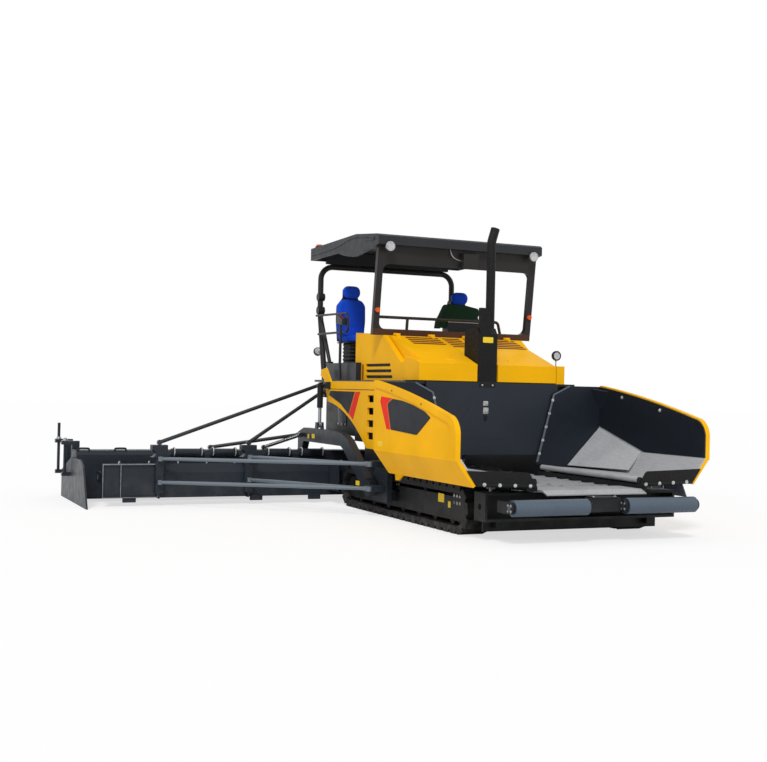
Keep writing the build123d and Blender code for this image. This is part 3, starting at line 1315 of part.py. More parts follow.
def marker_lamps():
    """Amber markers on the front frame's posts and a low beacon on the canopy's rear corner."""
    face = -FRAME_DEPTH / 2
    x = FRONT_FRAME_HALF - FRAME_BAR / 2
    z = up_frame(MARKER_Z)
    marker = leaning(rod((x, face - 30, z), (x, face, z), 32))
    slope = CANOPY_FALL / (CANOPY_REAR_Y - CANOPY_CROWN_Y)
    seat_z = CANOPY_TOP - slope * (BEACON_Y - BEACON_RADIUS - CANOPY_CROWN_Y) + SEAT_GAP
    return both(marker) + rod((BEACON_X, BEACON_Y, seat_z), (BEACON_X, BEACON_Y, BEACON_TOP), BEACON_RADIUS)


# Tow arms, braces, auger and screed

def tow_post():
    """Post outside the track with the tow pin and the seats of the brace rods."""
    low, high = TOW_Z - 160, BRACE_Z[1] + 90
    outline = [
        (BRACE_Y - 150, low), (TOW_Y + 110, low), (TOW_Y + 110, TOW_Z + 120), (BRACE_Y + 130, high),
        (BRACE_Y - 150, high),
    ]
    post = side_plate(outline, POST_IN, POST_OUT)
    post += block(TRACK_CENTRE_X + FRAME_OUTER, POST_IN, BRACE_Y - 100, TOW_Y + 50, TOW_Z - 140, TOW_Z)
    post += rod((POST_OUT, TOW_Y, TOW_Z), (ARM_OUT + 5, TOW_Y, TOW_Z), TOW_PIN)
    reach = BRACE_SPREAD / 2 + BRACE_EYE
    for z in BRACE_Z:
        post += block(POST_OUT, BRACE_X, BRACE_Y - reach, BRACE_Y + reach, z - BRACE_EYE, z + BRACE_EYE)
    return post


def tow_arm():
    """Cranked arm from the tow pin over the track to the screed, with the lift cylinder's lug."""
    outline = [
        (TOW_Y - ARM_EYE, TOW_Z + 20), (ARM_CRANK_Y - 200, ARM_TOP - 98), (ARM_CRANK_Y, ARM_TOP - 26),
        (ARM_CRANK_Y + 280, ARM_TOP), (ARM_FOOT_Y - 80, ARM_TOP), (ARM_REAR_Y, ARM_TOP - 70),
        (ARM_REAR_Y, SCREED_TOP),
        (ARM_FOOT_Y, SCREED_TOP), (ARM_FOOT_Y - 80, ARM_LOW), (ARM_CRANK_Y + 40, ARM_LOW),
        (ARM_CRANK_Y - 55, ARM_LOW - 40),
        (TOW_Y + 60, TOW_Z - 80),
    ]
    arm = side_plate(outline, ARM_IN, ARM_OUT) + rod(
        (ARM_IN, TOW_Y, TOW_Z), (ARM_OUT, TOW_Y, TOW_Z), ARM_EYE,
    )
    top = LIFT_EYE_Z + 35
    low = ARM_TOP - 30
    cheek = [(LIFT_Y - 60, low), (LIFT_Y + 60, low), (LIFT_Y + 35, top), (LIFT_Y - 35, top)]
    arm += side_plate(cheek, ARM_IN, ARM_IN + LIFT_CHEEK) + side_plate(cheek, ARM_OUT - LIFT_CHEEK, ARM_OUT)
    arm += rod((ARM_IN, LIFT_Y, LIFT_EYE_Z), (ARM_OUT, LIFT_Y, LIFT_EYE_Z), LIFT_OPEN_PIN)
    return arm - rod((ARM_IN - 1, TOW_Y, TOW_Z), (ARM_OUT + 1, TOW_Y, TOW_Z), TOW_PIN + RUNNING_GAP)


def auger_clamp(x):
    """Flange between two channel plates with the saddle of a stay rod on top."""
    face = AUGER_PLATE_Y
    clamp = block(
        x - FLANGE / 2, x + FLANGE / 2, face - CLAMP_DEPTH, face + PLATE_FOLD, PLATE_LOW - 10,
        CLAMP_LOW + 20,
    )
    clamp += block(
        x - CLAMP_HALF / 2, x + CLAMP_HALF / 2, face - CLAMP_DEPTH, face - PLATE / 2, PLATE_LOW + 60,
        CLAMP_LOW + 20,
    )
    saddle = block(
        x - CLAMP_HALF, x + CLAMP_HALF, face - CLAMP_DEPTH, face + PLATE_FOLD, CLAMP_LOW, CLAMP_TOP,
    )
    notch = CLAMP_HALF * 0.45
    z = CLAMP_LOW + notch + PANEL_GAP
    return clamp + saddle - rod((x + CLAMP_HALF, face - 200, z), (x + CLAMP_HALF, face + 200, z), notch)


def auger_channel(inner):
    """Folded front plate of the auger channel with a framed end section, its clamps and skids."""
    face = AUGER_PLATE_Y
    fold = [
        (face + PLATE_FOLD - PLATE, PLATE_TOP), (face - PLATE, PLATE_TOP - 120), (face, PLATE_TOP - 250),
        (face - PLATE, PLATE_LOW),
    ]
    channel = side_plate(bent_plate(fold, PLATE), inner, PLATE_END_X)
    for x in CLAMP_X:
        channel += auger_clamp(x)
    left, right = CLAMP_X[1] + FLANGE / 2, PLATE_END_X
    front = face - 2 * PLATE - FRAME_RIM
    rear = face + PLATE / 4
    panel = block(left, right, front, rear, PLATE_LOW, PLATE_TOP)
    panel -= block(
        left + FRAME_RIM, right - FRAME_RIM, front - 1, front + FRAME_RIM, PLATE_LOW + FRAME_RIM,
        PLATE_TOP - FRAME_RIM,
    )
    panel += block(
        FRAME_RIB_X - FRAME_RIM / 2, FRAME_RIB_X + FRAME_RIM / 2, front, rear, PLATE_LOW, PLATE_TOP,
    )
    channel += panel
    for x in SKID_X:
        channel += block(x, x + SKID_LENGTH, face - 2 * PLATE, face + PLATE, SKID_LOW, PLATE_LOW + PLATE)
    channel += block(SIDE_PLATE_X, SIDE_PLATE_X + PLATE, SIDE_PLATE_Y, rear, PLATE_LOW + 70, PLATE_TOP)
    return channel


def auger_support():
    """Front plates of the auger channel, the drive case and the end bearings."""
    face = AUGER_PLATE_Y
    inner = CHASSIS_HALF - CHASSIS_WALL
    side = auger_channel(inner)
    side += block(
        inner, CHASSIS_HALF + 80, CHASSIS_REAR_Y, face - PLATE / 2, PLATE_LOW + 140, PLATE_TOP - 130,
    )
    side += block(
        AUGER_END_X + SIDE_GAP, PLATE_END_X, face - PLATE, AUGER_Y + 70, AUGER_Z - 70, AUGER_Z + 70,
    )
    side -= rod(
        (AUGER_END_X, AUGER_Y, AUGER_Z), (PLATE_END_X + 1, AUGER_Y, AUGER_Z), AUGER_STUB + RUNNING_GAP,
    )
    low, high = FLOOR_Z - BED_HEIGHT - 90, FLOOR_Z - BED_HEIGHT - 10
    case = block(-CASE_HALF, CASE_HALF, AUGER_Y - 130, AUGER_Y + 130, AUGER_Z - 130, AUGER_Z + 180)
    case += block(-CASE_HALF, CASE_HALF, CHASSIS_REAR_Y, AUGER_Y - 130, low, high)
    case += block(-inner, inner, CHASSIS_REAR_Y - 60, CHASSIS_REAR_Y, low, high - 30)
    bore = AUGER_STUB + RUNNING_GAP
    case -= rod((CASE_HALF - 70, AUGER_Y, AUGER_Z), (CASE_HALF + 1, AUGER_Y, AUGER_Z), bore)
    case -= rod((-CASE_HALF - 1, AUGER_Y, AUGER_Z), (-CASE_HALF + 70, AUGER_Y, AUGER_Z), bore)
    return both(side) + case


def auger():
    """Shaft with a helical flight, running in the drive case and the end bearing."""
    start = CASE_HALF + SIDE_GAP
    length = AUGER_END_X - start
    turns = (length - 120) / AUGER_PITCH
    middle = (AUGER_RADIUS + AUGER_SHAFT) / 2
    helix = Helix(AUGER_PITCH, AUGER_PITCH * turns, radius=middle)
    section = Plane(origin=helix @ 0, x_dir=(1, 0, 0), z_dir=helix % 0)
    flight = sweep(section * Rectangle(AUGER_RADIUS - AUGER_SHAFT + 6, FLIGHT), path=helix, is_frenet=True)
    along = Plane(origin=(start + 60, AUGER_Y, AUGER_Z), z_dir=(1, 0, 0))
    screw = rod((start, AUGER_Y, AUGER_Z), (AUGER_END_X, AUGER_Y, AUGER_Z), AUGER_SHAFT) + along * flight
    stub_end = PLATE_END_X - 4
    return screw + rod((CASE_HALF - 60, AUGER_Y, AUGER_Z), (stub_end, AUGER_Y, AUGER_Z), AUGER_STUB)


def brace_rods():
    """Polished push rods in pairs and slim stay rods from the tractor to the clamps."""
    rods = None
    begin_x = BRACE_X + BRACE_EYE + SEAT_GAP
    reach = AUGER_PLATE_Y - CLAMP_DEPTH - BRACE_EYE - SEAT_GAP
    for index, x in enumerate(CLAMP_X):
        y = BRACE_Y + (index - 0.5) * BRACE_SPREAD
        for z in BRACE_Z:
            end = (x, reach, z - (index + 1) * BRACE_DROP)
            bar = eye_rod((begin_x, y, z), end, BRACE_RADIUS, BRACE_EYE, BRACE_EYE_HEIGHT, (0, 0, 1))
            rods = bar if rods is None else rods + bar
        begin = (STAY_X + STAY_EYE + SEAT_GAP, STAY_Y, STAY_Z[index])
        end = (x, AUGER_PLATE_Y - CLAMP_DEPTH / 2, CLAMP_TOP + STAY_EYE + SEAT_GAP)
        rods += eye_rod(begin, end, STAY_RADIUS, STAY_EYE, STAY_EYE_WIDTH, (0, 1, 0))
    return rods


def stay_bracket():
    """Plate under the deck that holds the upper ends of the stay rods."""
    return block(
        STAY_X - 120, STAY_X, STAY_Y - 50, STAY_Y + 50, STAY_Z[0] - 2 * STAY_EYE, DECK_TOP - DECK_PLATE,
    )


def screed_outline():
    """Side outline of the screed's body, (y, z)."""
    front = SCREED_FRONT_Y
    rear = SCREED_REAR_Y
    return [
        (front, SCREED_BOTTOM + 30), (front + 40, SCREED_BOTTOM), (rear, SCREED_BOTTOM),
        (rear, SCREED_TOP - 240),
        (rear - 150, SCREED_TOP - 230), (front + 300, SCREED_TOP), (front + 30, SCREED_TOP),
        (front, SCREED_TOP - 60),
    ]


def screed_section(x0, x1):
    """Welded box of sheet with an end plate at each side and a walkway behind."""
    face = make_face(Polyline(*screed_outline(), close=True))
    inner = offset(face, -SCREED_WALL, kind=Kind.INTERSECTION)
    wall = SCREED_WALL
    body = Pos(x0, 0, 0) * extrude(Plane.YZ * face, x1 - x0)
    body -= Pos(x0 + wall, 0, 0) * extrude(Plane.YZ * inner, x1 - x0 - 2 * wall)
    y = (SCREED_FRONT_Y + SCREED_REAR_Y) / 2 - 60
    z = (SCREED_BOTTOM + SCREED_TOP) / 2 - 40
    for x in (x0, x1 - wall):
        body -= rod((x - 1, y, z), (x + wall + 1, y, z), SCREED_END_HOLE)
    step = [
        (SCREED_REAR_Y, SCREED_TOP - 290), (WALKWAY_REAR_Y, SCREED_TOP - 290),
        (WALKWAY_REAR_Y, SCREED_TOP - 250),
        (SCREED_REAR_Y, SCREED_TOP - 250),
    ]
    return body + side_plate(step, x0, x1)


def screed_extension():
    """Bolted-on screed body of one side, with its rounded covers and the end gate's spindle guides."""
    body = screed_section(SCREED_CENTRE_HALF, SCREED_HALF)
    for near, far in MODULES:
        body += rod((near, MODULE_Y, MODULE_Z), (far, MODULE_Y, MODULE_Z), MODULE_RADIUS)
    gate_top = GATE_TOP + GATE_LIFT + PANEL_GAP
    inner = SCREED_HALF - 100
    for y in SPINDLE_Y:
        guide = block(inner, SPINDLE_X + 50, y - 45, y + 45, gate_top, gate_top + 50)
        guide += block(inner, SCREED_HALF, y - 45, y + 45, SCREED_TOP - 260, gate_top)
        body += guide - rod(
            (SPINDLE_X, y, gate_top - 1), (SPINDLE_X, y, gate_top + 51), SPINDLE + RUNNING_GAP,
        )
    return body


def end_gate():
    """Upright plate at the end of the screed on two spindles."""
    inner = SCREED_HALF + SIDE_GAP
    front, rear = GATE_FRONT_Y, GATE_REAR_Y
    low = GATE_TOP - 220
    outline = [
        (front, 0), (rear, 0), (rear, low), (rear - 800, GATE_TOP), (front + 500, GATE_TOP),
        (front + 300, GATE_TOP - 80),
    ]
    gate = side_plate(outline, inner, inner + GATE_PLATE)
    for y, top in zip(SPINDLE_Y, SPINDLE_TOP):
        gate += block(inner + GATE_PLATE, SPINDLE_X + 40, y - 40, y + 40, low - 50, low)
        gate += rod((SPINDLE_X, y, low - 10), (SPINDLE_X, y, top), SPINDLE)
    return gate


def screed_stays():
    """Diagonal stays from the tow arm to the screed."""
    stays = None
    for index, x in enumerate(STAY_FEET_X):
        begin = (ARM_OUT + STAY_EYE + SEAT_GAP, ARM_FOOT_Y - 40 + STAY_HEAD_STEP * index, STAY_HEAD_Z)
        end = (x, STAY_FOOT_Y, SCREED_TOP + STAY_EYE + SEAT_GAP)
        bar = eye_rod(begin, end, STAY_RADIUS, STAY_EYE, STAY_EYE_WIDTH, (0, 1, 0))
        stays = bar if stays is None else stays + bar
    return stays


def main():
    os.makedirs("parts", exist_ok=True)
    save_pair("track_loop", track_loop())
    save("track_wheels", both(track_wheels()))
    save("track_frames", both(track_frame()))
    save("chassis_sides", both(chassis_side()))
    save("chassis_plates", chassis_plates())
    save("conveyors", both(conveyor()) + conveyor_shafts())
    save("deck_plate", deck_plate())
    save("engine_block", engine_block())
    save("side_tanks", both(side_tank()))
    save("side_fairings", both(side_fairing()))
    save("deck_lockers", both(deck_locker()))
    save("hopper_wall", hopper_wall())
    save("hinge_rails", both(hinge_rail()))
    save_pair("wing_skin", wing_skin())
    save_pair("wing_shell", wing_shell())
    save_pair("wing_flap", wing_flap())
    save("front_lip", front_lip())
    save("front_beam", front_beam())
    save("push_beam", push_beam())
    save_pair("push_roller", push_roller())
    save_pair("wing_barrel", wing_barrel())
    save_pair("wing_rod", wing_rod())
    save_pair("lift_barrel", lift_barrel())
    save_pair("lift_rod", lift_rod())
    save("hood_shell", hood_shell())
    save("hood_lid_left", hood_lid(LID_LEFT_IN, LID_LEFT_OUT, LOUVRES_LEFT, False))
    save("hood_lid_right", mirrored(hood_lid(LID_RIGHT_IN, LID_RIGHT_OUT, LOUVRES_RIGHT, True)))
    save("exhaust_stack", exhaust_stack())
    save("canopy_roof", canopy_roof())
    save("canopy_front_frame", canopy_front_frame())
    save("canopy_rear_hoop", canopy_rear_hoop())
    save("seats", both(seat()))
    save("deck_fittings", deck_fittings())
    save("console_cover", console_cover())
    save("handrails", handrails())
    save("work_lamps", work_lamps())
    save("marker_lamps", marker_lamps())
    save("tow_brackets", both(tow_post()) + both(lift_beam()) + both(stay_bracket()))
    save_pair("tow_arm", tow_arm())
    save("auger_support", auger_support())
    save_pair("auger", auger())
    save("brace_rods", both(brace_rods()))
    save("screed_centre", screed_section(-SCREED_CENTRE_HALF, SCREED_CENTRE_HALF))
    save_pair("screed_extension", screed_extension())
    save_pair("end_gate", end_gate())
    save("screed_stays", both(screed_stays()))


if __name__ == "__main__":
    main()
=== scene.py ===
import math

import bpy
from mathutils import Matrix, Vector


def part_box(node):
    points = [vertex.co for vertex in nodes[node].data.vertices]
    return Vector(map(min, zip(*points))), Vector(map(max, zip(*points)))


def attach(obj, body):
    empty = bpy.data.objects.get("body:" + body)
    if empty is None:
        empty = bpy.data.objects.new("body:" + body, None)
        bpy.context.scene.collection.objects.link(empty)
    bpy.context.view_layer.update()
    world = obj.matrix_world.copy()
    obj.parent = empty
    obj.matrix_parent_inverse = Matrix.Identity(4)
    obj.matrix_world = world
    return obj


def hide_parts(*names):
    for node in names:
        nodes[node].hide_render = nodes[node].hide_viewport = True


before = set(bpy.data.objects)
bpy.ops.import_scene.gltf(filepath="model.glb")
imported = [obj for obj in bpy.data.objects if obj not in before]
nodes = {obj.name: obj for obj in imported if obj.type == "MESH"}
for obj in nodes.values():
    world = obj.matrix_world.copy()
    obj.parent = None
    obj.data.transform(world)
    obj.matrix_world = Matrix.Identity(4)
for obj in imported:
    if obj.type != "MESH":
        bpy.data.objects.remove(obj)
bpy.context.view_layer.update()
bpy.ops.object.select_all(action="DESELECT")

# Studio: a wide pale floor, a white surround, one soft sun from behind the viewpoint.
# The camera stands about as high as the hopper's back wall and is turned to the right flank.
scene = bpy.context.scene
scene.view_settings.view_transform = "Standard"
EYE = (-7.521, -14.056, 1.627)
YAW, PITCH, ROLL = math.radians(24.16), math.radians(0.35), math.radians(1.26)
view = bpy.data.cameras.new("viewpoint")
view.sensor_width = 36.0
view.lens = 55.95
view.clip_end = 400
camera = bpy.data.objects.new("viewpoint", view)
scene.collection.objects.link(camera)
camera.matrix_world = (
    Matrix.Translation(EYE)
    @ Matrix.Rotation(-YAW, 4, "Z")
    @ Matrix.Rotation(math.pi / 2 + PITCH, 4, "X")
    @ Matrix.Rotation(ROLL, 4, "Z")
)
scene.camera = camera

sun = bpy.data.lights.new("sun", "SUN")
sun.energy = 1.9
sun.angle = math.radians(14)
sun_lamp = bpy.data.objects.new("sun", sun)
scene.collection.objects.link(sun_lamp)
sun_lamp.rotation_euler = (math.radians(42), math.radians(-16), math.radians(-14))

surround = bpy.data.worlds.new("surround")
surround.use_nodes = True
scene.world = surround
sky = surround.node_tree
path = sky.nodes.new("ShaderNodeLightPath")
seen = sky.nodes.new("ShaderNodeMath")
seen.operation = "ADD"
seen.use_clamp = True
mirror = sky.nodes.new("ShaderNodeMath")
mirror.operation = "ADD"
level = sky.nodes.new("ShaderNodeMapRange")
level.inputs["To Min"].default_value = 0.55
level.inputs["To Max"].default_value = 1.0
sky.links.new(path.outputs["Is Glossy Ray"], mirror.inputs[0])
sky.links.new(path.outputs["Is Transmission Ray"], mirror.inputs[1])
sky.links.new(path.outputs["Is Camera Ray"], seen.inputs[0])
sky.links.new(mirror.outputs[0], seen.inputs[1])
sky.links.new(seen.outputs[0], level.inputs["Value"])
sky.links.new(level.outputs["Result"], sky.nodes["Background"].inputs["Strength"])
sky.nodes["Background"].inputs["Color"].default_value = (1, 1, 1, 1)

bpy.ops.mesh.primitive_plane_add(size=160, location=(0, 0, -0.001))
floor = bpy.context.object
floor.name = "floor"
pale = bpy.data.materials.new("pale_floor")
pale.use_nodes = True
tree = pale.node_tree
glow = tree.nodes.new("ShaderNodeEmission")
glow.inputs["Strength"].default_value = 1.04
share = tree.nodes.new("ShaderNodeMath")
share.operation = "MULTIPLY"
share.inputs[1].default_value = 0.62
ray = tree.nodes.new("ShaderNodeLightPath")
blend = tree.nodes.new("ShaderNodeMixShader")
matt = tree.nodes.new("ShaderNodeBsdfDiffuse")
matt.inputs["Color"].default_value = (0.93, 0.93, 0.93, 1)
tree.links.new(ray.outputs["Is Camera Ray"], share.inputs[0])
tree.links.new(share.outputs[0], blend.inputs["Fac"])
tree.links.new(matt.outputs[0], blend.inputs[1])
tree.links.new(glow.outputs[0], blend.inputs[2])
tree.links.new(blend.outputs[0], tree.nodes["Material Output"].inputs["Surface"])
floor.data.materials.append(pale)

# Tracks: cast shoes with pads on a link chain, rolled over rollers, an idler and a sprocket.
# Bare iron darkened by use, with pale dust near the ground.


def effect(name, inputs, outputs):
    group = bpy.data.node_groups.new(name, "ShaderNodeTree")
    for label, kind, value in inputs:
        socket = group.interface.new_socket(label, in_out="INPUT", socket_type="NodeSocket" + kind)
        socket.default_value = value
    for label, kind in outputs:
        group.interface.new_socket(label, in_out="OUTPUT", socket_type="NodeSocket" + kind)
    return group, group.nodes.new("NodeGroupInput"), group.nodes.new("NodeGroupOutput")


def noise(group, scale, detail, stretch=(1, 1, 1)):
    place = group.nodes.new("ShaderNodeTexCoord")
    size = group.nodes.new("ShaderNodeMapping")
    size.inputs["Scale"].default_value = stretch
    grain = group.nodes.new("ShaderNodeTexNoise")
    grain.inputs["Scale"].default_value = scale
    grain.inputs["Detail"].default_value = detail
    group.links.new(place.outputs["Object"], size.inputs["Vector"])
    group.links.new(size.outputs["Vector"], grain.inputs["Vector"])
    return grain.outputs["Fac"]


def joined(group, socket, value):
    if hasattr(value, "is_linked"):
        group.links.new(value, socket)
    else:
        socket.default_value = value


def spread(group, source, low, high, to_low=0.0, to_high=1.0):
    band = group.nodes.new("ShaderNodeMapRange")
    for label, value in (("From Min", low), ("From Max", high), ("To Min", to_low), ("To Max", to_high)):
        joined(group, band.inputs[label], value)
    group.links.new(source, band.inputs["Value"])
    return band.outputs["Result"]


def mixed(group, share, first, second, way="MIX"):
    mix = group.nodes.new("ShaderNodeMix")
    mix.data_type = "RGBA"
    mix.blend_type = way
    for socket, value in (
        (mix.inputs["Factor"], share), (mix.inputs["A"], first), (mix.inputs["B"], second),
    ):
        joined(group, socket, value)
    return mix.outputs["Result"]


def worked(group, first, second, operation="MULTIPLY"):
    sum_node = group.nodes.new("ShaderNodeMath")
    sum_node.operation = operation
    for socket, value in zip(sum_node.inputs, (first, second)):
        joined(group, socket, value)
    return sum_node.outputs[0]


def place_along(group, axis):
    place = group.nodes.new("ShaderNodeTexCoord")
    parts = group.nodes.new("ShaderNodeSeparateXYZ")
    group.links.new(place.outputs["Object"], parts.inputs["Vector"])
    return parts.outputs[axis]


def finish(name, group, values, bump, metallic=0.0, coat=0.0, depth=0.002, shine=0.2):
    surface = bpy.data.materials.new(name)
    surface.use_nodes = True
    tree = surface.node_tree
    skin = tree.nodes["Principled BSDF"]
    skin.inputs["Metallic"].default_value = metallic
    skin.inputs["Coat Weight"].default_value = coat
    skin.inputs["Coat Roughness"].default_value = 0.15
    skin.inputs["Specular IOR Level"].default_value = shine
    use = tree.nodes.new("ShaderNodeGroup")
    use.node_tree = group
    for label, value in values.items():
        use.inputs[label].default_value = value
    rise = tree.nodes.new("ShaderNodeBump")
    rise.inputs["Strength"].default_value = bump
    rise.inputs["Distance"].default_value = depth
    tree.links.new(use.outputs["Colour"], skin.inputs["Base Color"])
    tree.links.new(use.outputs["Roughness"], skin.inputs["Roughness"])
    tree.links.new(use.outputs["Height"], rise.inputs["Height"])
    tree.links.new(rise.outputs["Normal"], skin.inputs["Normal"])
    return surface


def dress(surface, *names):
    for name in names:
        nodes[name].material_slots[0].material = surface


SURFACE_OUT = [("Colour", "Color"), ("Roughness", "Float"), ("Height", "Float")]
grit, grit_in, grit_out = effect(
    "used_iron",
    [
        ("Colour", "Color", (0.03, 0.03, 0.03, 1)),
        ("Dust", "Color", (0.10, 0.095, 0.085, 1)),
        ("Dust Top", "Float", 0.5),
    ],
    SURFACE_OUT,
)
low_down = spread(grit, place_along(grit, "Z"), grit_in.outputs["Dust Top"], 0.0)
dusty = worked(grit, low_down, spread(grit, noise(grit, 9, 6), 0.45, 0.75, 0.0, 0.7))
grit.links.new(
    mixed(grit, dusty, grit_in.outputs["Colour"], grit_in.outputs["Dust"]), grit_out.inputs["Colour"],
)
grit.links.new(spread(grit, noise(grit, 30, 5), 0.3, 0.7, 0.42, 0.75), grit_out.inputs["Roughness"])
grit.links.new(noise(grit, 60, 5), grit_out.inputs["Height"])
track_iron = finish("track_iron", grit, {"Colour": (0.008, 0.008, 0.009, 1)}, 0.5, shine=0.3)
dress(track_iron, "track_loop_left", "track_loop_right", "track_wheels")

# Frame, deck and the plain steelwork of the tractor: plate and channel sprayed in dark slate
# over primer, with dust that settles low down and a slight orange peel in the film.
film, film_in, film_out = effect(
    "sprayed_film",
    [
        ("Colour", "Color", (0.04, 0.045, 0.055, 1)),
        ("Dust", "Color", (0.11, 0.105, 0.10, 1)),
        ("Dust Top", "Float", 0.5),
        ("Gloss", "Float", 0.32),
    ],
    SURFACE_OUT,
)
cloud = spread(film, noise(film, 1.4, 3), 0.3, 0.7, 0.90, 1.06)
tone = film.nodes.new("ShaderNodeCombineColor")
for label in ("Red", "Green", "Blue"):
    film.links.new(cloud, tone.inputs[label])
shade = mixed(film, 1.0, film_in.outputs["Colour"], tone.outputs["Color"], "MULTIPLY")
settled = worked(
    film,
    spread(film, place_along(film, "Z"), film_in.outputs["Dust Top"], 0.0),
    spread(film, noise(film, 5, 7), 0.45, 0.8, 0.0, 0.4),
)
film.links.new(mixed(film, settled, shade, film_in.outputs["Dust"]), film_out.inputs["Colour"])
streaky = spread(film, noise(film, 8, 4), 0.35, 0.7, 0.0, 0.12)
film.links.new(worked(film, film_in.outputs["Gloss"], streaky, "ADD"), film_out.inputs["Roughness"])
film.links.new(noise(film, 120, 2), film_out.inputs["Height"])

PEEL = 0.0003
slate = finish("slate_paint", film, {"Colour": (0.019, 0.025, 0.034, 1)}, 0.08, coat=0.04, depth=PEEL)
black = finish(
    "black_paint", film, {"Colour": (0.006, 0.007, 0.008, 1), "Gloss": 0.42}, 0.08, depth=PEEL, shine=0.25,
)
dress(slate, "chassis_sides", "deck_plate", "side_tanks", "deck_lockers", "hopper_wall")
dress(black, "track_frames", "hinge_rails", "engine_block")

# Small flat pieces on the tractor: blank plates in the places of notices, and bolt heads in
# zinc. A plate is cut from sheet with round corners, a bolt is a hexagon head on its washer.
# The y values in this script count from DATUM, a plane 40 mm behind the hopper's back wall.
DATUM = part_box("hopper_wall")[1][1] + 0.040
SIDES = ((1, "left"), (-1, "right"))
SHEET = 0.003
NO_DUST = 0.01


def cut_plate(name, outline, axis, level, depth, corner=0.0, edge=0.0):
    bpy.ops.object.select_all(action="DESELECT")
    bpy.ops.mesh.primitive_circle_add(vertices=len(outline), radius=0.1, fill_type="NGON")
    piece = bpy.context.object
    piece.name = piece.data.name = name
    across = "xyz".index(axis)
    for vertex, spots in zip(piece.data.vertices, outline):
        spots = list(spots)
        spots.insert(across, level)
        vertex.co = spots
    bpy.ops.object.mode_set(mode="EDIT")
    bpy.ops.mesh.select_all(action="SELECT")
    if corner:
        bpy.ops.mesh.bevel(offset=corner, segments=5, affect="VERTICES")
        bpy.ops.mesh.select_all(action="SELECT")
    step = [0, 0, 0]
    step[across] = depth
    bpy.ops.mesh.extrude_region_move(TRANSFORM_OT_translate={"value": step})
    if edge:
        bpy.ops.mesh.bevel(offset=edge, segments=2, affect="EDGES")
    return piece


def fit(piece, surface, body, angle=35):
    if bpy.context.mode == "EDIT_MESH":
        bpy.ops.mesh.select_all(action="SELECT")
        bpy.ops.mesh.normals_make_consistent(inside=False)
        bpy.ops.object.mode_set(mode="OBJECT")
    bpy.ops.object.transform_apply(location=True, rotation=True, scale=True)
    bpy.ops.object.shade_smooth_by_angle(angle=math.radians(angle))
    piece.data.materials.clear()
    piece.data.materials.append(surface)
    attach(piece, body)
    return piece


def gather(name, copies):
    bpy.ops.object.select_all(action="DESELECT")
    for copy in copies:
        copy.select_set(True)
    bpy.context.view_layer.objects.active = copies[0]
    if len(copies) > 1:
        bpy.ops.object.join()
    piece = bpy.context.object
    piece.name = piece.data.name = name
    return piece


def copied(model, places):
    copies = []
    for place in places:
        copy = model.copy()
        copy.data = model.data.copy()
        scene.collection.objects.link(copy)
        copy.matrix_world = place
        copies.append(copy)
    bpy.data.objects.remove(model)
    return copies


def bolts(name, places, axis, size, surface, body):
    bpy.ops.object.select_all(action="DESELECT")
    bpy.ops.mesh.primitive_cylinder_add(
        vertices=16, radius=1.45 * size, depth=0.2 * size, location=(0, 0, 0.1 * size),
    )
    washer = bpy.context.object
    bpy.ops.mesh.primitive_cylinder_add(
        vertices=6, radius=size, depth=0.7 * size, location=(0, 0, 0.55 * size),
    )
    head = bpy.context.object
    bpy.ops.object.mode_set(mode="EDIT")
    bpy.ops.mesh.select_all(action="SELECT")
    bpy.ops.mesh.bevel(offset=0.12 * size, segments=1, affect="EDGES")
    bpy.ops.object.mode_set(mode="OBJECT")
    for part in (washer, head):
        part.select_set(True)
    bpy.ops.object.transform_apply(location=True, rotation=True, scale=True)
    model = gather(name, [head, washer])
    turn = Vector(axis).to_track_quat("Z", "Y").to_matrix().to_4x4()
    copies = copied(model, [Matrix.Translation(Vector(place)) @ turn for place in places])
    return fit(gather(name, copies), surface, body)


def box_of(x0, x1, z0, z1):
    return [(x0, z0), (x1, z0), (x1, z1), (x0, z1)]


def both_sides(points):
    return [(side * x, y, z) for side in (1, -1) for x, y, z in points]


zinc_film, zinc_in, zinc_out = effect(
    "zinc_plating", [("Colour", "Color", (0.5, 0.5, 0.5, 1))], SURFACE_OUT
)
zinc_tint = spread(zinc_film, noise(zinc_film, 40, 4), 0.3, 0.7)
zinc_film.links.new(
    mixed(zinc_film, zinc_tint, zinc_in.outputs["Colour"], (0.30, 0.29, 0.26, 1)), zinc_out.inputs["Colour"],
)
zinc_film.links.new(
    spread(zinc_film, noise(zinc_film, 90, 3), 0.3, 0.7, 0.28, 0.5), zinc_out.inputs["Roughness"],
)
zinc_film.links.new(noise(zinc_film, 200, 2), zinc_out.inputs["Height"])
zinc = finish("zinc", zinc_film, {"Colour": (0.55, 0.56, 0.58, 1)}, 0.1, metallic=0.85, depth=PEEL)
white_zinc = finish(
    "white_zinc", zinc_film, {"Colour": (0.80, 0.81, 0.82, 1)}, 0.05, metallic=0.3, depth=PEEL,
)
blank = finish(
    "blank_plate", film, {"Colour": (0.88, 0.62, 0.03, 1), "Dust Top": NO_DUST, "Gloss": 0.4}, 0.02,
    depth=PEEL,
)

FRAME_FACE = 1.185
for side, word in SIDES:
    for number, (y, z, half, tall) in enumerate(((-0.98, 0.366, 0.075, 0.05), (-1.19, 0.308, 0.032, 0.036))):
        outline = box_of(DATUM + y - half, DATUM + y + half, z - tall, z + tall)
        plate = cut_plate(
            f"notice_frame_{word}_{number}", outline, "x", side * FRAME_FACE, side * SHEET, 0.008,
        )
        fit(plate, blank, "tractor")
bolts(
    "frame_bolts",
    both_sides([(FRAME_FACE, DATUM + y, z) for y in (-1.30, -1.37, -1.44) for z in (0.34, 0.42)]
               + [(FRAME_FACE, DATUM + y, z) for y in (0.20, 0.27) for z in (0.34, 0.42)]),
    (1, 0, 0), 0.014, zinc, "tractor",
)

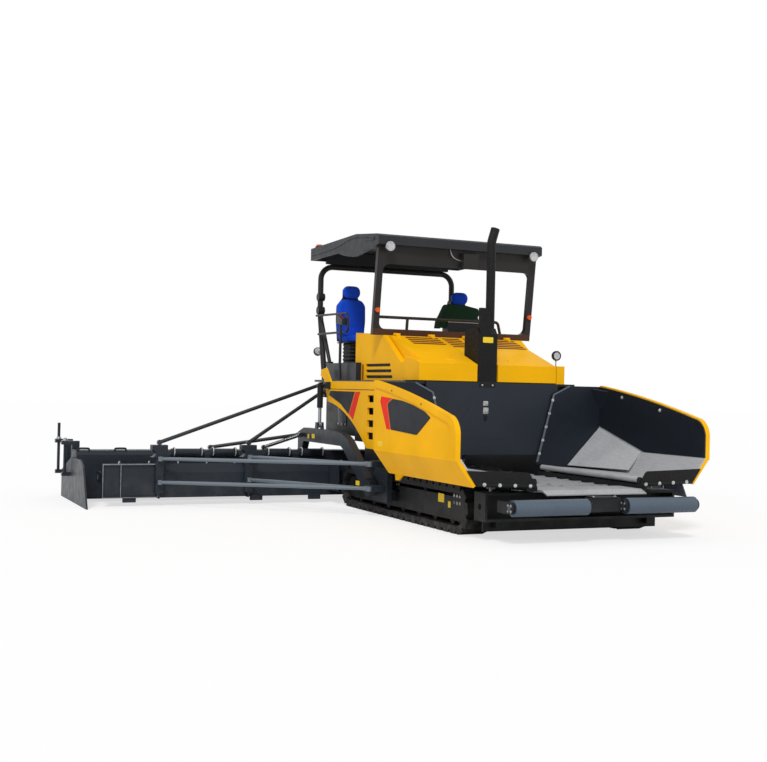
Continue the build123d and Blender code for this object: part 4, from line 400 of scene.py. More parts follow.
# Hopper wings: yellow outer walls with a raised rim, steel floors scoured by the mix and dark
# paint above the crease, on long hinges and lifted by a cylinder under each floor.
yellow = finish(
    "amber_paint", film, {"Colour": (0.94, 0.475, 0.005, 1), "Dust Top": NO_DUST, "Gloss": 0.4}, 0.05,
    depth=PEEL, shine=0.06,
)
dress(yellow, "wing_skin_left", "wing_skin_right")

plate_film, plate_in, plate_out = effect(
    "scoured_plate",
    [
        ("Colour", "Color", (0.42, 0.43, 0.44, 1)),
        ("Stain", "Color", (0.16, 0.155, 0.15, 1)),
        ("Wear", "Float", 0.35),
    ],
    SURFACE_OUT,
)
drag = noise(plate_film, 14, 6, (6, 0.5, 6))
stain = worked(
    plate_film, spread(plate_film, noise(plate_film, 2.4, 6), 0.5, 0.78), plate_in.outputs["Wear"],
)
streak = mixed(
    plate_film, worked(plate_film, spread(plate_film, drag, 0.35, 0.75), plate_in.outputs["Wear"]),
    plate_in.outputs["Colour"], plate_in.outputs["Stain"],
)
plate_film.links.new(mixed(plate_film, stain, streak, plate_in.outputs["Stain"]), plate_out.inputs["Colour"])
plate_film.links.new(spread(plate_film, drag, 0.3, 0.8, 0.38, 0.62), plate_out.inputs["Roughness"])
plate_film.links.new(drag, plate_out.inputs["Height"])
steel = finish("scoured_steel", plate_film, {}, 0.2, metallic=0.35, depth=0.001)

CREASE = 0.892
PANEL_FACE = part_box("wing_shell_left")[1][1] - 0.025
GUSSET_FOOT = Vector((1.120, PANEL_FACE, 0.667))
GUSSET_TOP = Vector((1.600, PANEL_FACE, 1.160))
GUSSET_NOSE = Vector((1.600, DATUM - 1.020, 0.888))
gusset_way = (GUSSET_TOP - GUSSET_FOOT).cross(GUSSET_NOSE - GUSSET_FOOT).normalized()
lining, lining_in, lining_out = effect(
    "hopper_lining",
    [("Steel", "Color", (0.46, 0.47, 0.49, 1)), ("Stain", "Color", (0.20, 0.205, 0.215, 1)),
     ("Paint", "Color", (0.015, 0.020, 0.028, 1))],
    SURFACE_OUT,
)
worn = lining.nodes.new("ShaderNodeGroup")
worn.node_tree = plate_film
lining.links.new(lining_in.outputs["Steel"], worn.inputs["Colour"])
lining.links.new(lining_in.outputs["Stain"], worn.inputs["Stain"])
coated = lining.nodes.new("ShaderNodeGroup")
coated.node_tree = film
lining.links.new(lining_in.outputs["Paint"], coated.inputs["Colour"])
coated.inputs["Dust Top"].default_value = NO_DUST
height = place_along(lining, "Z")
above = spread(lining, height, CREASE, CREASE + 0.006)
behind = spread(lining, place_along(lining, "Y"), PANEL_FACE - 0.004, PANEL_FACE - 0.001)
painted = worked(lining, above, behind, "MAXIMUM")
outward = worked(lining, place_along(lining, "X"), 0.0, "ABSOLUTE")
sideways = worked(lining, outward, gusset_way.x)
upward = worked(lining, height, gusset_way.z)
rearward = worked(lining, place_along(lining, "Y"), gusset_way.y)
from_foot = worked(lining, rearward, -gusset_way.dot(GUSSET_FOOT), "ADD")
from_gusset = worked(lining, worked(lining, sideways, upward, "ADD"), from_foot, "ADD")
off_gusset = spread(lining, worked(lining, from_gusset, 0.0, "ABSOLUTE"), 0.018, 0.022)
painted = worked(lining, painted, worked(lining, off_gusset, behind, "MAXIMUM"))
lining.links.new(
    mixed(lining, painted, worn.outputs["Colour"], coated.outputs["Colour"]), lining_out.inputs["Colour"],
)
lining.links.new(
    worked(lining, worked(lining, worn.outputs["Roughness"], worked(lining, 1.0, painted, "SUBTRACT")),
           worked(lining, coated.outputs["Roughness"], painted), "ADD"),
    lining_out.inputs["Roughness"],
)
lining.links.new(worn.outputs["Height"], lining_out.inputs["Height"])
hopper_lining = finish("hopper_lining", lining, {}, 0.1, metallic=0.15, depth=0.001)
dress(hopper_lining, "wing_shell_left", "wing_shell_right")
dress(steel, "front_lip", "chassis_plates", "conveyors")
flap_rubber = finish("flap_rubber", grit, {"Colour": (0.008, 0.008, 0.008, 1), "Dust Top": 0.05}, 0.3)
dress(flap_rubber, "wing_flap_left", "wing_flap_right")
rod_chrome = finish(
    "rod_chrome", plate_film, {"Colour": (0.34, 0.38, 0.43, 1), "Stain": (0.22, 0.25, 0.28, 1), "Wear": 0.2},
    0.05, metallic=0.7, depth=PEEL, shine=0.5,
)
dress(rod_chrome, "wing_rod_left", "wing_rod_right")
dress(black, "wing_barrel_left", "wing_barrel_right")

# Trim of the wings: a dark inlay and a red bracket on each outer wall, a bolted grey strip up
# the inner edge of the rear wall, a steel batten that clamps the rubber flap, and rim screws.
charcoal = finish(
    "charcoal_inlay", film, {"Colour": (0.020, 0.023, 0.029, 1), "Dust Top": NO_DUST}, 0.04, depth=PEEL,
    shine=0.08
)
red = finish(
    "red_inlay", film, {"Colour": (0.85, 0.022, 0.010, 1), "Dust Top": NO_DUST, "Gloss": 0.4}, 0.03,
    depth=PEEL, shine=0.1,
)
strip_grey = finish(
    "strip_grey", film, {"Colour": (0.11, 0.135, 0.155, 1), "Dust Top": NO_DUST}, 0.04, depth=PEEL,
    shine=0.4,
)
WING_FACE = 1.660
INLAY = [
    (-0.600, 1.506), (-0.870, 1.487), (-1.138, 1.447), (-1.449, 1.381),
    (-1.615, 1.314), (-1.269, 1.107), (-0.559, 1.140), (-0.450, 1.445),
]
BRACKET = [
    (-0.271, 1.530), (-0.590, 1.510), (-0.435, 1.447),
    (-0.543, 1.138), (-0.440, 1.142), (-0.240, 1.470),
]
NOTICE = box_of(-0.32, -0.19, 0.925, 0.99)
STRIP = [(0.634, 0.716), (0.873, 1.598), (1.122, 1.716), (1.129, 1.700), (0.894, 1.586), (0.664, 0.716)]
FLAP_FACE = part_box("wing_flap_left")[0][1]
STRIP_DEEP, BATTEN_DEEP = 0.006, 0.008
RIM_SCREW, RIM_INSIDE = 0.016, 1.5975
for side, word in SIDES:
    body = f"wing_{word}"
    for name, points, corner, surface, slot in (
        ("inlay", INLAY, 0.022, charcoal, "dark_paint"),
        ("bracket", BRACKET, 0.012, red, "body_paint"),
        ("notice", NOTICE, 0.010, blank, "body_paint"),
    ):
        outline = [(DATUM + y, z) for y, z in points]
        plate = cut_plate(f"wing_{name}_{word}", outline, "x", side * WING_FACE, side * SHEET, corner)
        fit(plate, surface, body)
    outline = [(side * x, z) for x, z in STRIP]
    strip = cut_plate(f"wing_strip_{word}", outline, "y", PANEL_FACE, -STRIP_DEEP, edge=0.0015)
    fit(strip, strip_grey, body)
    screws = [(side * (0.667 + share * 0.203), PANEL_FACE - STRIP_DEEP, 0.786 + share * 0.757)
              for share in (0.05, 0.28, 0.51, 0.74, 0.97)]
    bolts(f"wing_strip_bolts_{word}", screws, (0, -1, 0), 0.014, white_zinc, body)
    outline = [(side * 0.690, 0.585), (side * 1.408, 0.612), (side * 1.428, 0.640), (side * 0.706, 0.613)]
    batten = cut_plate(f"flap_batten_{word}", outline, "y", FLAP_FACE, -BATTEN_DEEP, edge=0.002)
    fit(batten, black, body)
    screws = [(side * x, FLAP_FACE - BATTEN_DEEP, 0.5735 + 0.0376 * x) for x in (0.76, 0.95, 1.14, 1.33)]
    bolts(f"flap_bolts_{word}", screws, (0, -1, 0), 0.015, white_zinc, body)
    screws = [
        (side * (WING_FACE + 0.001), DATUM - 0.596, 1.600),
        (side * (WING_FACE + 0.001), DATUM - 1.390, 1.458),
    ]
    bolts(f"rim_screws_{word}", screws, (side, 0, 0), RIM_SCREW, black, body)
    screws = [(side * RIM_INSIDE, DATUM - 0.596, 1.575), (side * RIM_INSIDE, DATUM - 1.390, 1.430)]
    bolts(f"rim_nuts_{word}", screws, (-side, 0, 0), RIM_SCREW, white_zinc, body)

# Latch on the hopper's wall: a zinc keeper and hasp with a black pull below them, and a black tab
# with two bolts under the exhaust case at the top edge.
WALL_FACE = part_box("hopper_wall")[0][1]
WALL_SKIN = WALL_FACE + 0.004
keeper = cut_plate(
    "latch_keeper", box_of(-0.150, -0.078, 1.432, 1.492), "y", WALL_SKIN, -0.007, 0.008, 0.002,
)
fit(keeper, zinc, "tractor")
keeper = cut_plate("latch_hasp", box_of(-0.150, -0.075, 1.328, 1.410), "y", WALL_FACE, -0.008, 0.008, 0.002)
fit(keeper, zinc, "tractor")
pull = cut_plate(
    "latch_pull", [(-0.135, 1.318), (-0.088, 1.318), (-0.098, 1.250), (-0.118, 1.236), (-0.132, 1.250)], "y",
    WALL_FACE, -0.010, 0.006, 0.002,
)
fit(pull, black, "tractor")
bolts(
    "wall_bolts", [(x, WALL_SKIN, 1.695) for x in (-0.17, -0.02)], (0, -1, 0), 0.015, zinc, "tractor",
)
tab = cut_plate("stack_tab", box_of(-0.215, 0.025, 1.666, 1.722), "y", WALL_SKIN, -SHEET, 0.01)
fit(tab, black, "tractor")

# Front beam with its swinging push beam: black fabricated plate, with two rolled steel push rollers
# in bearings that are bolted to the ends of the brackets.
dress(black, "front_beam", "push_beam")
rolled = finish(
    "roller_steel", plate_film,
    {"Colour": (0.105, 0.135, 0.175, 1), "Stain": (0.07, 0.09, 0.115, 1), "Wear": 0.3}, 0.02,
    metallic=0.85, depth=PEEL, shine=0.5,
)
dress(rolled, "push_roller_left", "push_roller_right")
AXIS_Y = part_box("push_roller_left")[0][1] + 0.088
AXIS_Z = 0.400
BOLT_CIRCLE = 0.042
for side, word in SIDES:
    for x, way in ((0.217, -1), (1.207, 1)):
        ring = [(side * x, AXIS_Y + BOLT_CIRCLE * math.cos(math.radians(45 + 90 * n)),
                 AXIS_Z + BOLT_CIRCLE * math.sin(math.radians(45 + 90 * n))) for n in range(4)]
        name = f"bearing_bolts_{word}_{'in' if way < 0 else 'out'}"
        bolts(name, ring, (side * way, 0, 0), 0.011, zinc, "push_beam")
bolts(
    "housing_bolts", [(x, DATUM - 2.545, 0.499) for x in (-0.14, 0.14)], (0, 0, 1), 0.012,
    zinc, "push_beam",
)

# Hood with its two lids and the covers along the flanks: folded sheet in amber enamel. The lids'
# louvres have brown blades, and the covers carry a dark inlay and a red stripe.
dress(yellow, "hood_shell", "hood_lid_left", "hood_lid_right", "side_fairings")
screen_brown = finish("screen_brown", grit, {"Colour": (0.150, 0.046, 0.012, 1), "Dust Top": NO_DUST}, 0.4)
HIP_Y, HIP_Z, NOSE_AHEAD, NOSE_Z = 1.060, 2.335, 0.060, 1.955
SLOPE = (HIP_Z - NOSE_Z) / (HIP_Y + NOSE_AHEAD)
TILT = math.atan(SLOPE)
SLOT_HEAD, SLOT_STEP, SLOT_INSET = 1.050, 0.080, 0.015
BLADE_WIDE, BLADE_THICK = 0.046, 0.004


def louvres(name, middle, width, count, body):
    blades = []
    for row in range(count):
        y = SLOT_HEAD - (row + 1) * SLOT_STEP + SLOT_INSET
        z = NOSE_Z + SLOPE * (y + NOSE_AHEAD)
        bpy.ops.object.select_all(action="DESELECT")
        bpy.ops.mesh.primitive_cube_add(
            size=1, location=(middle, DATUM + y, z + 0.002), rotation=(TILT, 0, 0),
            scale=(width, BLADE_WIDE, BLADE_THICK)
        )
        bpy.ops.object.transform_apply(location=True, rotation=True, scale=True)
        bpy.ops.object.mode_set(mode="EDIT")
        bpy.ops.mesh.bevel(offset=0.0015, segments=1, affect="EDGES")
        bpy.ops.object.mode_set(mode="OBJECT")
        blades.append(bpy.context.object)
    return fit(gather(name, blades), screen_brown, body)


louvres("louvre_blades_left", 0.500, 0.800, 5, "hood_lid_left")
louvres("louvre_blades_right", -0.525, 0.482, 4, "hood_lid_right")
louvres("louvre_blades_middle", -0.088, 0.250, 5, "tractor")
for side, word, near in ((1, "left", 0.105), (-1, "right", 0.285)):
    grip = cut_plate(
        f"lid_grip_{word}",
        [(side * x, y) for x, y in box_of(near + 0.20, near + 0.31, DATUM + 0.10, DATUM + 0.15)],
        "z", 0.0, 0.012, 0.012, 0.003,
    )
    bpy.ops.object.mode_set(mode="OBJECT")
    for vertex in grip.data.vertices:
        vertex.co.z += NOSE_Z + SLOPE * (vertex.co.y - DATUM + NOSE_AHEAD) - 0.002
    bpy.ops.object.mode_set(mode="EDIT")
    fit(grip, yellow, f"hood_lid_{word}")

stop_red = finish("stop_red", grit, {"Colour": (0.30, 0.065, 0.008, 1), "Dust Top": NO_DUST}, 0.2)
FLANK_FACE = 1.265
FLANK_INLAY = [(1.500, 1.572), (2.400, 1.575), (2.440, 1.515), (2.000, 1.400), (1.705, 1.262)]
FLANK_STRIPE = [(1.312, 1.574), (1.478, 1.570), (1.690, 1.262), (1.545, 1.192)]
for side, word in SIDES:
    for name, outline, surface, slot in (
        ("flank_inlay", FLANK_INLAY, charcoal, "dark_paint"),
        ("flank_stripe", FLANK_STRIPE, red, "body_paint"),
    ):
        points = [(DATUM + y, z) for y, z in outline]
        fit(
            cut_plate(f"{name}_{word}", points, "x", side * FLANK_FACE, side * SHEET, 0.008), surface,
            "tractor",
        )
    seam = cut_plate(
        f"flank_seam_{word}", box_of(DATUM + 0.845, DATUM + 2.410, 1.597, 1.606), "x", side * FLANK_FACE,
        side * 0.002
    )
    fit(seam, screen_brown, "tractor")
    upright = cut_plate(
        f"vent_stop_{word}", box_of(DATUM + 1.690, DATUM + 1.742, 1.745, 1.948), "x", side * 1.060,
        side * SHEET, 0.006,
    )
    fit(upright, stop_red, "tractor")
    # A black sheet just inside each side vent: painted shade, standing in for the dark of the engine bay
    # seen through the slot.
    shade_sheet = cut_plate(
        f"vent_shade_sheet_{word}", box_of(DATUM + 0.70, DATUM + 1.66, 1.742, 1.975), "x", side * 1.036,
        -side * SHEET, 0.01,
    )
    fit(shade_sheet, flap_rubber, "tractor")

# Tanks at the rear under the deck: one welded dark box on each side behind the cover's arch, with
# rounded corners and a bolted plate over its hand hole.
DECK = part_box("deck_plate")[1][2]
TANK_FACE, TANK_FOOT, TANK_DROP = 1.160, 0.960, 0.032
HATCH_DEEP = 0.008
for side, word in SIDES:
    outline = [(side * x, DATUM + y) for x, y in box_of(0.840, TANK_FACE, 1.670, 2.860)]
    tank = cut_plate(
        f"rear_tank_{word}", outline, "z", TANK_FOOT, DECK - TANK_DROP - TANK_FOOT, 0.060, 0.008,
    )
    fit(tank, black, "tractor")
    outline = box_of(DATUM + 2.02, DATUM + 2.34, 1.08, 1.36)
    hatch = cut_plate(f"tank_hatch_{word}", outline, "x", side * TANK_FACE, side * HATCH_DEEP, 0.05, 0.002)
    fit(hatch, slate, "tractor")
    ring = [
        (side * (TANK_FACE + HATCH_DEEP), DATUM + y, z) for y in (2.05, 2.18, 2.31) for z in (1.11, 1.33)
    ]
    bolts(f"hatch_bolts_{word}", ring, (side, 0, 0), 0.012, zinc, "tractor")

# Exhaust: a matt black silencer case, a shield and a pipe with a bent tip. A blank plate sits
# on the front of the case.
soot = finish("soot_black", grit, {"Colour": (0.006, 0.006, 0.006, 1), "Dust Top": NO_DUST}, 0.15)
dress(soot, "exhaust_stack")
STACK_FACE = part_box("exhaust_stack")[0][1]
fit(
    cut_plate("stack_notice", box_of(-0.168, -0.020, 2.236, 2.308), "y", STACK_FACE, -SHEET, 0.01), blank,
    "tractor",
)

# Canopy: a moulded roof tray on a leaning front frame and a rear hoop of bent tube. A bead runs
# along each fascia, and round lamps in turned rims hang at the front corners and the hoop.
roof = finish(
    "canopy_shell", film, {"Colour": (0.026, 0.028, 0.032, 1), "Dust Top": NO_DUST, "Gloss": 0.4}, 0.15,
    depth=PEEL,
)
dress(roof, "canopy_roof")
tube = finish(
    "frame_tube", film, {"Colour": (0.024, 0.022, 0.022, 1), "Dust Top": NO_DUST, "Gloss": 0.36}, 0.06,
    depth=PEEL,
)
dress(tube, "canopy_rear_hoop", "handrails")
# Paint split at a height line. On the canopy's front frame the paint stops at the line with brown primer
# below it; on the brace rods the lighter colour below the line is painted highlight.
dip_and_highlight, dip_and_highlight_in, dip_and_highlight_out = effect(
    "dip_and_highlight_frame",
    [
        ("Colour", "Color", (0.024, 0.022, 0.022, 1)),
        ("Primer And Highlight", "Color", (0.070, 0.030, 0.016, 1)),
        ("Line", "Float", 2.42),
    ],
    SURFACE_OUT,
)
over = dip_and_highlight.nodes.new("ShaderNodeGroup")
over.node_tree = film
over.inputs["Dust Top"].default_value = NO_DUST
dip_and_highlight.links.new(dip_and_highlight_in.outputs["Colour"], over.inputs["Colour"])
below_line = worked(dip_and_highlight, place_along(dip_and_highlight, "Z"), dip_and_highlight_in.outputs["Line"], "LESS_THAN")
dip_and_highlight.links.new(
    mixed(dip_and_highlight, below_line, over.outputs["Colour"], dip_and_highlight_in.outputs["Primer And Highlight"]), dip_and_highlight_out.inputs["Colour"]
)
for label in ("Roughness", "Height"):
    dip_and_highlight.links.new(over.outputs[label], dip_and_highlight_out.inputs[label])
dress(finish("dip_and_highlight_frame", dip_and_highlight, {}, 0.06, depth=PEEL), "canopy_front_frame")


def bar(name, route, radius, surface, body, sides=3):
    line = bpy.data.curves.new(name, "CURVE")
    line.dimensions = "3D"
    line.bevel_depth = radius
    line.bevel_resolution = sides
    line.resolution_u = 6
    line.use_fill_caps = True
    run = line.splines.new("NURBS")
    run.points.add(len(route) - 1)
    for point, place in zip(run.points, route):
        point.co = (*place, 1)
    run.order_u = 3
    run.use_endpoint_u = True
    piece = bpy.data.objects.new(name, line)
    scene.collection.objects.link(piece)
    bpy.ops.object.select_all(action="DESELECT")
    piece.select_set(True)
    bpy.context.view_layer.objects.active = piece
    bpy.ops.object.convert(target="MESH")
    return fit(bpy.context.object, surface, body, 50)


ROOF_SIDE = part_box("canopy_roof")[1][0]
BEAD = [
    (3.30, 3.585), (2.60, 3.598), (2.20, 3.628), (1.90, 3.676), (1.62, 3.690),
    (1.30, 3.655), (1.02, 3.625), (0.98, 3.600), (1.04, 3.588), (1.30, 3.600),
]
for side, word in SIDES:
    route = [(side * (ROOF_SIDE - 0.002), DATUM + y, z) for y, z in BEAD]
    bar(f"fascia_bead_{word}", route, 0.013, roof, "tractor")
FASCIA_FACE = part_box("canopy_roof")[0][1]
ROD = [
    (-0.16, 0.06, 3.52), (-0.15, 0.05, 3.44), (-0.08, 0.045, 3.385), (0.02, 0.06, 3.372),
    (0.06, 0.075, 3.37),
]
route = [(x, FASCIA_FACE + y, z) for x, y, z in ROD]
bar("header_wire", route, 0.006, zinc, "tractor")

lens_film, lens_in, lens_out = effect(
    "ribbed_lens", [("Colour", "Color", (0.8, 0.8, 0.8, 1)), ("Groove", "Color", (0.55, 0.56, 0.58, 1))],
    SURFACE_OUT,
)
rib = spread(lens_film, noise(lens_film, 60, 1, (6, 1, 0.3)), 0.3, 0.7)
lens_film.links.new(
    mixed(lens_film, rib, lens_in.outputs["Colour"], lens_in.outputs["Groove"]), lens_out.inputs["Colour"],
)
lens_film.links.new(spread(lens_film, rib, 0, 1, 0.06, 0.18), lens_out.inputs["Roughness"])
lens_film.links.new(rib, lens_out.inputs["Height"])
lens = finish(
    "lamp_lens", lens_film, {"Colour": (0.70, 0.72, 0.74, 1), "Groove": (0.25, 0.26, 0.28, 1)}, 0.3,
    coat=0.5, depth=0.001,
)
amber = finish(
    "marker_lens", lens_film, {"Colour": (0.86, 0.12, 0.004, 1), "Groove": (0.6, 0.06, 0.002, 1)}, 0.2,
    coat=0.15, depth=0.001,
)
dress(lens, "work_lamps")
dress(amber, "marker_lamps")
RIM_OUT, RIM_WALL, RIM_DEEP = 0.010, 0.018, 0.034
LAMP, BEACON = 0.055, 0.048


def lamp_rim(name, centre, way, radius, surface):
    bpy.ops.object.select_all(action="DESELECT")
    bpy.ops.mesh.primitive_cylinder_add(vertices=40, radius=radius + RIM_OUT, depth=RIM_DEEP)
    rim = bpy.context.object
    bpy.ops.object.mode_set(mode="EDIT")
    bpy.ops.mesh.select_mode(type="FACE")
    bpy.ops.mesh.select_all(action="DESELECT")
    bpy.ops.object.mode_set(mode="OBJECT")
    for face in rim.data.polygons:
        face.select = abs(face.normal.z) > 0.9
    bpy.ops.object.mode_set(mode="EDIT")
    bpy.ops.mesh.inset(thickness=RIM_WALL, depth=0)
    bpy.ops.mesh.bridge_edge_loops()
    bpy.ops.mesh.select_mode(type="VERT")
    bpy.ops.mesh.select_all(action="SELECT")
    bpy.ops.mesh.bevel(offset=0.002, segments=1, affect="EDGES")
    bpy.ops.object.mode_set(mode="OBJECT")
    rim.name = rim.data.name = name
    turn = Vector(way).to_track_quat("Z", "Y").to_matrix().to_4x4()
    rim.matrix_world = Matrix.Translation(Vector(centre)) @ turn
    return fit(rim, surface, "tractor", 40)


for side, word in SIDES:
    lamp_rim(f"front_lamp_rim_{word}", (side * 1.090, DATUM + 0.826, 3.490), (0, -1, 0), LAMP, zinc)
    lamp_rim(f"rear_lamp_rim_{word}", (side * 1.100, DATUM + 3.366, 2.157), (0, 1, -0.2), LAMP, black)
lamp_rim("hood_lamp_rim", (1.000, DATUM + 0.050, 2.105), (0, -1, 0), LAMP, black)
lamp_rim("beacon_foot", (-1.150, DATUM + 3.270, 3.709), (0, 0, 1), BEACON, black)

# Seats: foam cushion, back and head rest in woven blue cloth, held by a moulded black shell that
# stands on a bellows over the pedestal. Cloth simulation swells each pad a little between its seams.
weave, weave_in, weave_out = effect("woven_cloth", [("Colour", "Color", (0.01, 0.05, 0.4, 1))], SURFACE_OUT)
place = weave.nodes.new("ShaderNodeTexCoord")
warp = weave.nodes.new("ShaderNodeTexWave")
weft = weave.nodes.new("ShaderNodeTexWave")
for thread, way in ((warp, "X"), (weft, "Z")):
    thread.bands_direction = way
    thread.inputs["Scale"].default_value = 130
    thread.inputs["Distortion"].default_value = 0.6
    weave.links.new(place.outputs["Object"], thread.inputs["Vector"])
threads = worked(weave, warp.outputs["Fac"], weft.outputs["Fac"], "MAXIMUM")
faded = spread(weave, noise(weave, 6, 4), 0.35, 0.75, 0.0, 0.15)
cloth_tone = mixed(weave, worked(weave, threads, 0.25), weave_in.outputs["Colour"], (0.0, 0.0, 0.0, 1))
weave.links.new(mixed(weave, faded, cloth_tone, (0.02, 0.03, 0.06, 1)), weave_out.inputs["Colour"])
weave.links.new(spread(weave, threads, 0, 1, 0.75, 0.92), weave_out.inputs["Roughness"])
weave.links.new(threads, weave_out.inputs["Height"])
blue = finish("seat_cloth", weave, {"Colour": (0.008, 0.085, 0.78, 1)}, 0.3, depth=0.0008)
FOAM_GRAIN, SEAM_HALF = 0.010, 0.008
PAD_PRESSURE, PAD_FRAMES = 4, 20


def settle(piece, cloth, frames, cap):
    start = [vertex.co.copy() for vertex in piece.data.vertices]
    for moment in range(1, frames + 1):
        scene.frame_set(moment)
    result = piece.evaluated_get(bpy.context.evaluated_depsgraph_get()).to_mesh()
    ends = [vertex.co.copy() for vertex in result.vertices]
    piece.modifiers.remove(cloth)
    for vertex, first, last in zip(piece.data.vertices, start, ends):
        step = last - first
        vertex.co = first + step * min(1.0, cap / max(step.length, 1e-6))
    scene.frame_set(1)


def pad(name, outline, axis, level, depth, corner, rounding, seams, cap):
    piece = cut_plate(name, outline, axis, level, depth, corner)
    bpy.ops.mesh.select_all(action="SELECT")
    bpy.ops.mesh.normals_make_consistent(inside=False)
    bpy.ops.mesh.bevel(offset=rounding, segments=4, affect="EDGES")
    bpy.ops.object.mode_set(mode="OBJECT")
    piece.data.remesh_voxel_size = FOAM_GRAIN
    bpy.ops.object.voxel_remesh()
    sewn = piece.vertex_groups.new(name="sewn")
    for vertex in piece.data.vertices:
        if any(abs(vertex.co[along] - spot) < SEAM_HALF for along, spot in seams):
            sewn.add([vertex.index], 1.0, "REPLACE")
    blown = piece.modifiers.new("blown", "CLOTH")
    blown.settings.vertex_group_mass = "sewn"
    blown.settings.use_pressure = True
    blown.settings.uniform_pressure_force = PAD_PRESSURE
    blown.settings.effector_weights.gravity = 0
    settle(piece, blown, PAD_FRAMES, cap)
    round_off = piece.modifiers.new("round_off", "SUBSURF")
    round_off.levels = round_off.render_levels = 1
    bpy.ops.object.modifier_apply(modifier="round_off")
    return fit(piece, blue, "tractor", 180)


SEAT_X, SEAT_HALF = 0.885, 0.2325
SEAT_LOW, SEAT_TOP, BACK_TOP, REST_TOP = 2.275, 2.390, 2.910, 3.110
BACK_FACE = DATUM + 2.560
FOLDS, FOLD_OUT, BELLOWS_FOOT, BELLOWS_Y = 9, 1.09, 0.06, 2.375
TRAY_DROP = 0.012
BACK_OUTLINE = [
    (-0.195, SEAT_LOW + 0.030), (0.195, SEAT_LOW + 0.030), (0.222, 2.60), (0.218, 2.82),
    (0.150, BACK_TOP - 0.010), (-0.150, BACK_TOP - 0.010), (-0.218, 2.82), (-0.222, 2.60),
]
SHELL_OUTLINE = [
    (-0.190, SEAT_LOW + 0.012), (0.190, SEAT_LOW + 0.012), (0.215, 2.60), (0.210, 2.81),
    (0.118, BACK_TOP + 0.015), (0.118, REST_TOP - 0.06), (0.06, REST_TOP - 0.02), (-0.06, REST_TOP - 0.02),
    (-0.118, REST_TOP - 0.06), (-0.118, BACK_TOP + 0.015), (-0.210, 2.81), (-0.215, 2.60),
]
seat_pieces = []
for side, word in SIDES:
    middle = side * SEAT_X
    outline = box_of(
        middle - SEAT_HALF + 0.012, middle + SEAT_HALF - 0.012, DATUM + 2.182, BACK_FACE - 0.004,
    )
    cushion = pad(
        f"seat_cushion_{word}", outline, "z", SEAT_LOW + 0.004, SEAT_TOP - SEAT_LOW - 0.022, 0.070, 0.030,
        ((2, SEAT_LOW + 0.004), (0, middle - 0.135), (0, middle + 0.135), (1, DATUM + 2.30)), 0.018,
    )
    outline = [(middle + x, z) for x, z in BACK_OUTLINE]
    back = pad(
        f"seat_back_{word}", outline, "y", BACK_FACE + 0.016, 0.074, 0.040, 0.028,
        ((1, BACK_FACE + 0.090), (0, middle - 0.125), (0, middle + 0.125), (2, 2.50)), 0.014,
    )
    outline = box_of(middle - 0.132, middle + 0.132, BACK_TOP + 0.008, REST_TOP - 0.012)
    rest = pad(
        f"seat_rest_{word}", outline, "y", BACK_FACE + 0.014, 0.080, 0.080, 0.030, ((1, BACK_FACE + 0.094),),
        0.014,
    )
    outline = [(middle + x, z) for x, z in SHELL_OUTLINE]
    shell = cut_plate(f"seat_shell_{word}", outline, "y", BACK_FACE + 0.092, 0.024, 0.020, 0.006)
    fit(shell, black, "tractor")
    seat_pieces += [cushion, back, rest, shell]
    bpy.ops.object.select_all(action="DESELECT")
    bpy.ops.mesh.primitive_plane_add(size=1, location=(middle, DATUM + BELLOWS_Y, DECK + BELLOWS_FOOT))
    bellows = bpy.context.object
    bellows.name = bellows.data.name = f"seat_bellows_{word}"
    bellows.scale = (0.30, 0.31, 1)
    bpy.ops.object.transform_apply(location=True, rotation=True, scale=True)
    bpy.ops.object.mode_set(mode="EDIT")
    bpy.ops.mesh.select_all(action="SELECT")
    bpy.ops.mesh.bevel(offset=0.045, segments=4, affect="VERTICES")
    bpy.ops.mesh.select_all(action="SELECT")
    rise = (SEAT_LOW - TRAY_DROP - DECK - BELLOWS_FOOT) / (2 * FOLDS)
    for fold in range(2 * FOLDS):
        size = FOLD_OUT if fold % 2 == 0 else 1 / FOLD_OUT
        bpy.ops.mesh.extrude_region_move(TRANSFORM_OT_translate={"value": (0, 0, rise)})
        bpy.ops.transform.resize(value=(size, size, 1), center_override=(middle, DATUM + BELLOWS_Y, 0))
    fit(bellows, flap_rubber, "tractor", 20)
    tray = cut_plate(
        f"seat_tray_{word}", box_of(middle - 0.20, middle + 0.20, DATUM + 2.20, BACK_FACE + 0.10), "z",
        SEAT_LOW - TRAY_DROP, 0.014, 0.03, 0.003,
    )
    fit(tray, black, "tractor")
for piece in seat_pieces:
    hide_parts("seats")

# Console at the front of the deck under a fitted cover of green cloth, held along its hem and
# over what stands on the console's head, and slack between. A control box stands at the right-hand rail.
dress(slate, "deck_fittings")
green = finish("cover_cloth", weave, {"Colour": (0.010, 0.050, 0.022, 1)}, 0.25, depth=0.0006)
COVER_FRONT, COVER_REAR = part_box("console_cover")[0][1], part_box("console_cover")[1][1]
COVER_FRAMES, COVER_CAP = 25, 0.035
COVER_OUTLINE = [
    (0.203, 2.512), (0.222, 2.628), (0.262, 2.690), (0.345, 2.862), (0.455, 2.876), (0.600, 2.872),
    (0.830, 2.822), (0.858, 2.770), (0.846, 2.700), (0.866, 2.622), (0.320, 2.622), (0.318, 2.512),
]
cover = cut_plate("console_hood", COVER_OUTLINE, "y", COVER_FRONT + 0.004, COVER_REAR - COVER_FRONT - 0.008)
bpy.ops.mesh.select_all(action="DESELECT")
bpy.ops.object.mode_set(mode="OBJECT")
for face in cover.data.polygons:
    face.select = face.normal.z < -0.9 or (face.normal.x > 0.9 and face.center.x < 0.330)
bpy.ops.object.mode_set(mode="EDIT")
bpy.ops.mesh.delete(type="FACE")
bpy.ops.mesh.select_all(action="SELECT")
bpy.ops.mesh.quads_convert_to_tris()
bpy.ops.mesh.subdivide(number_cuts=3)
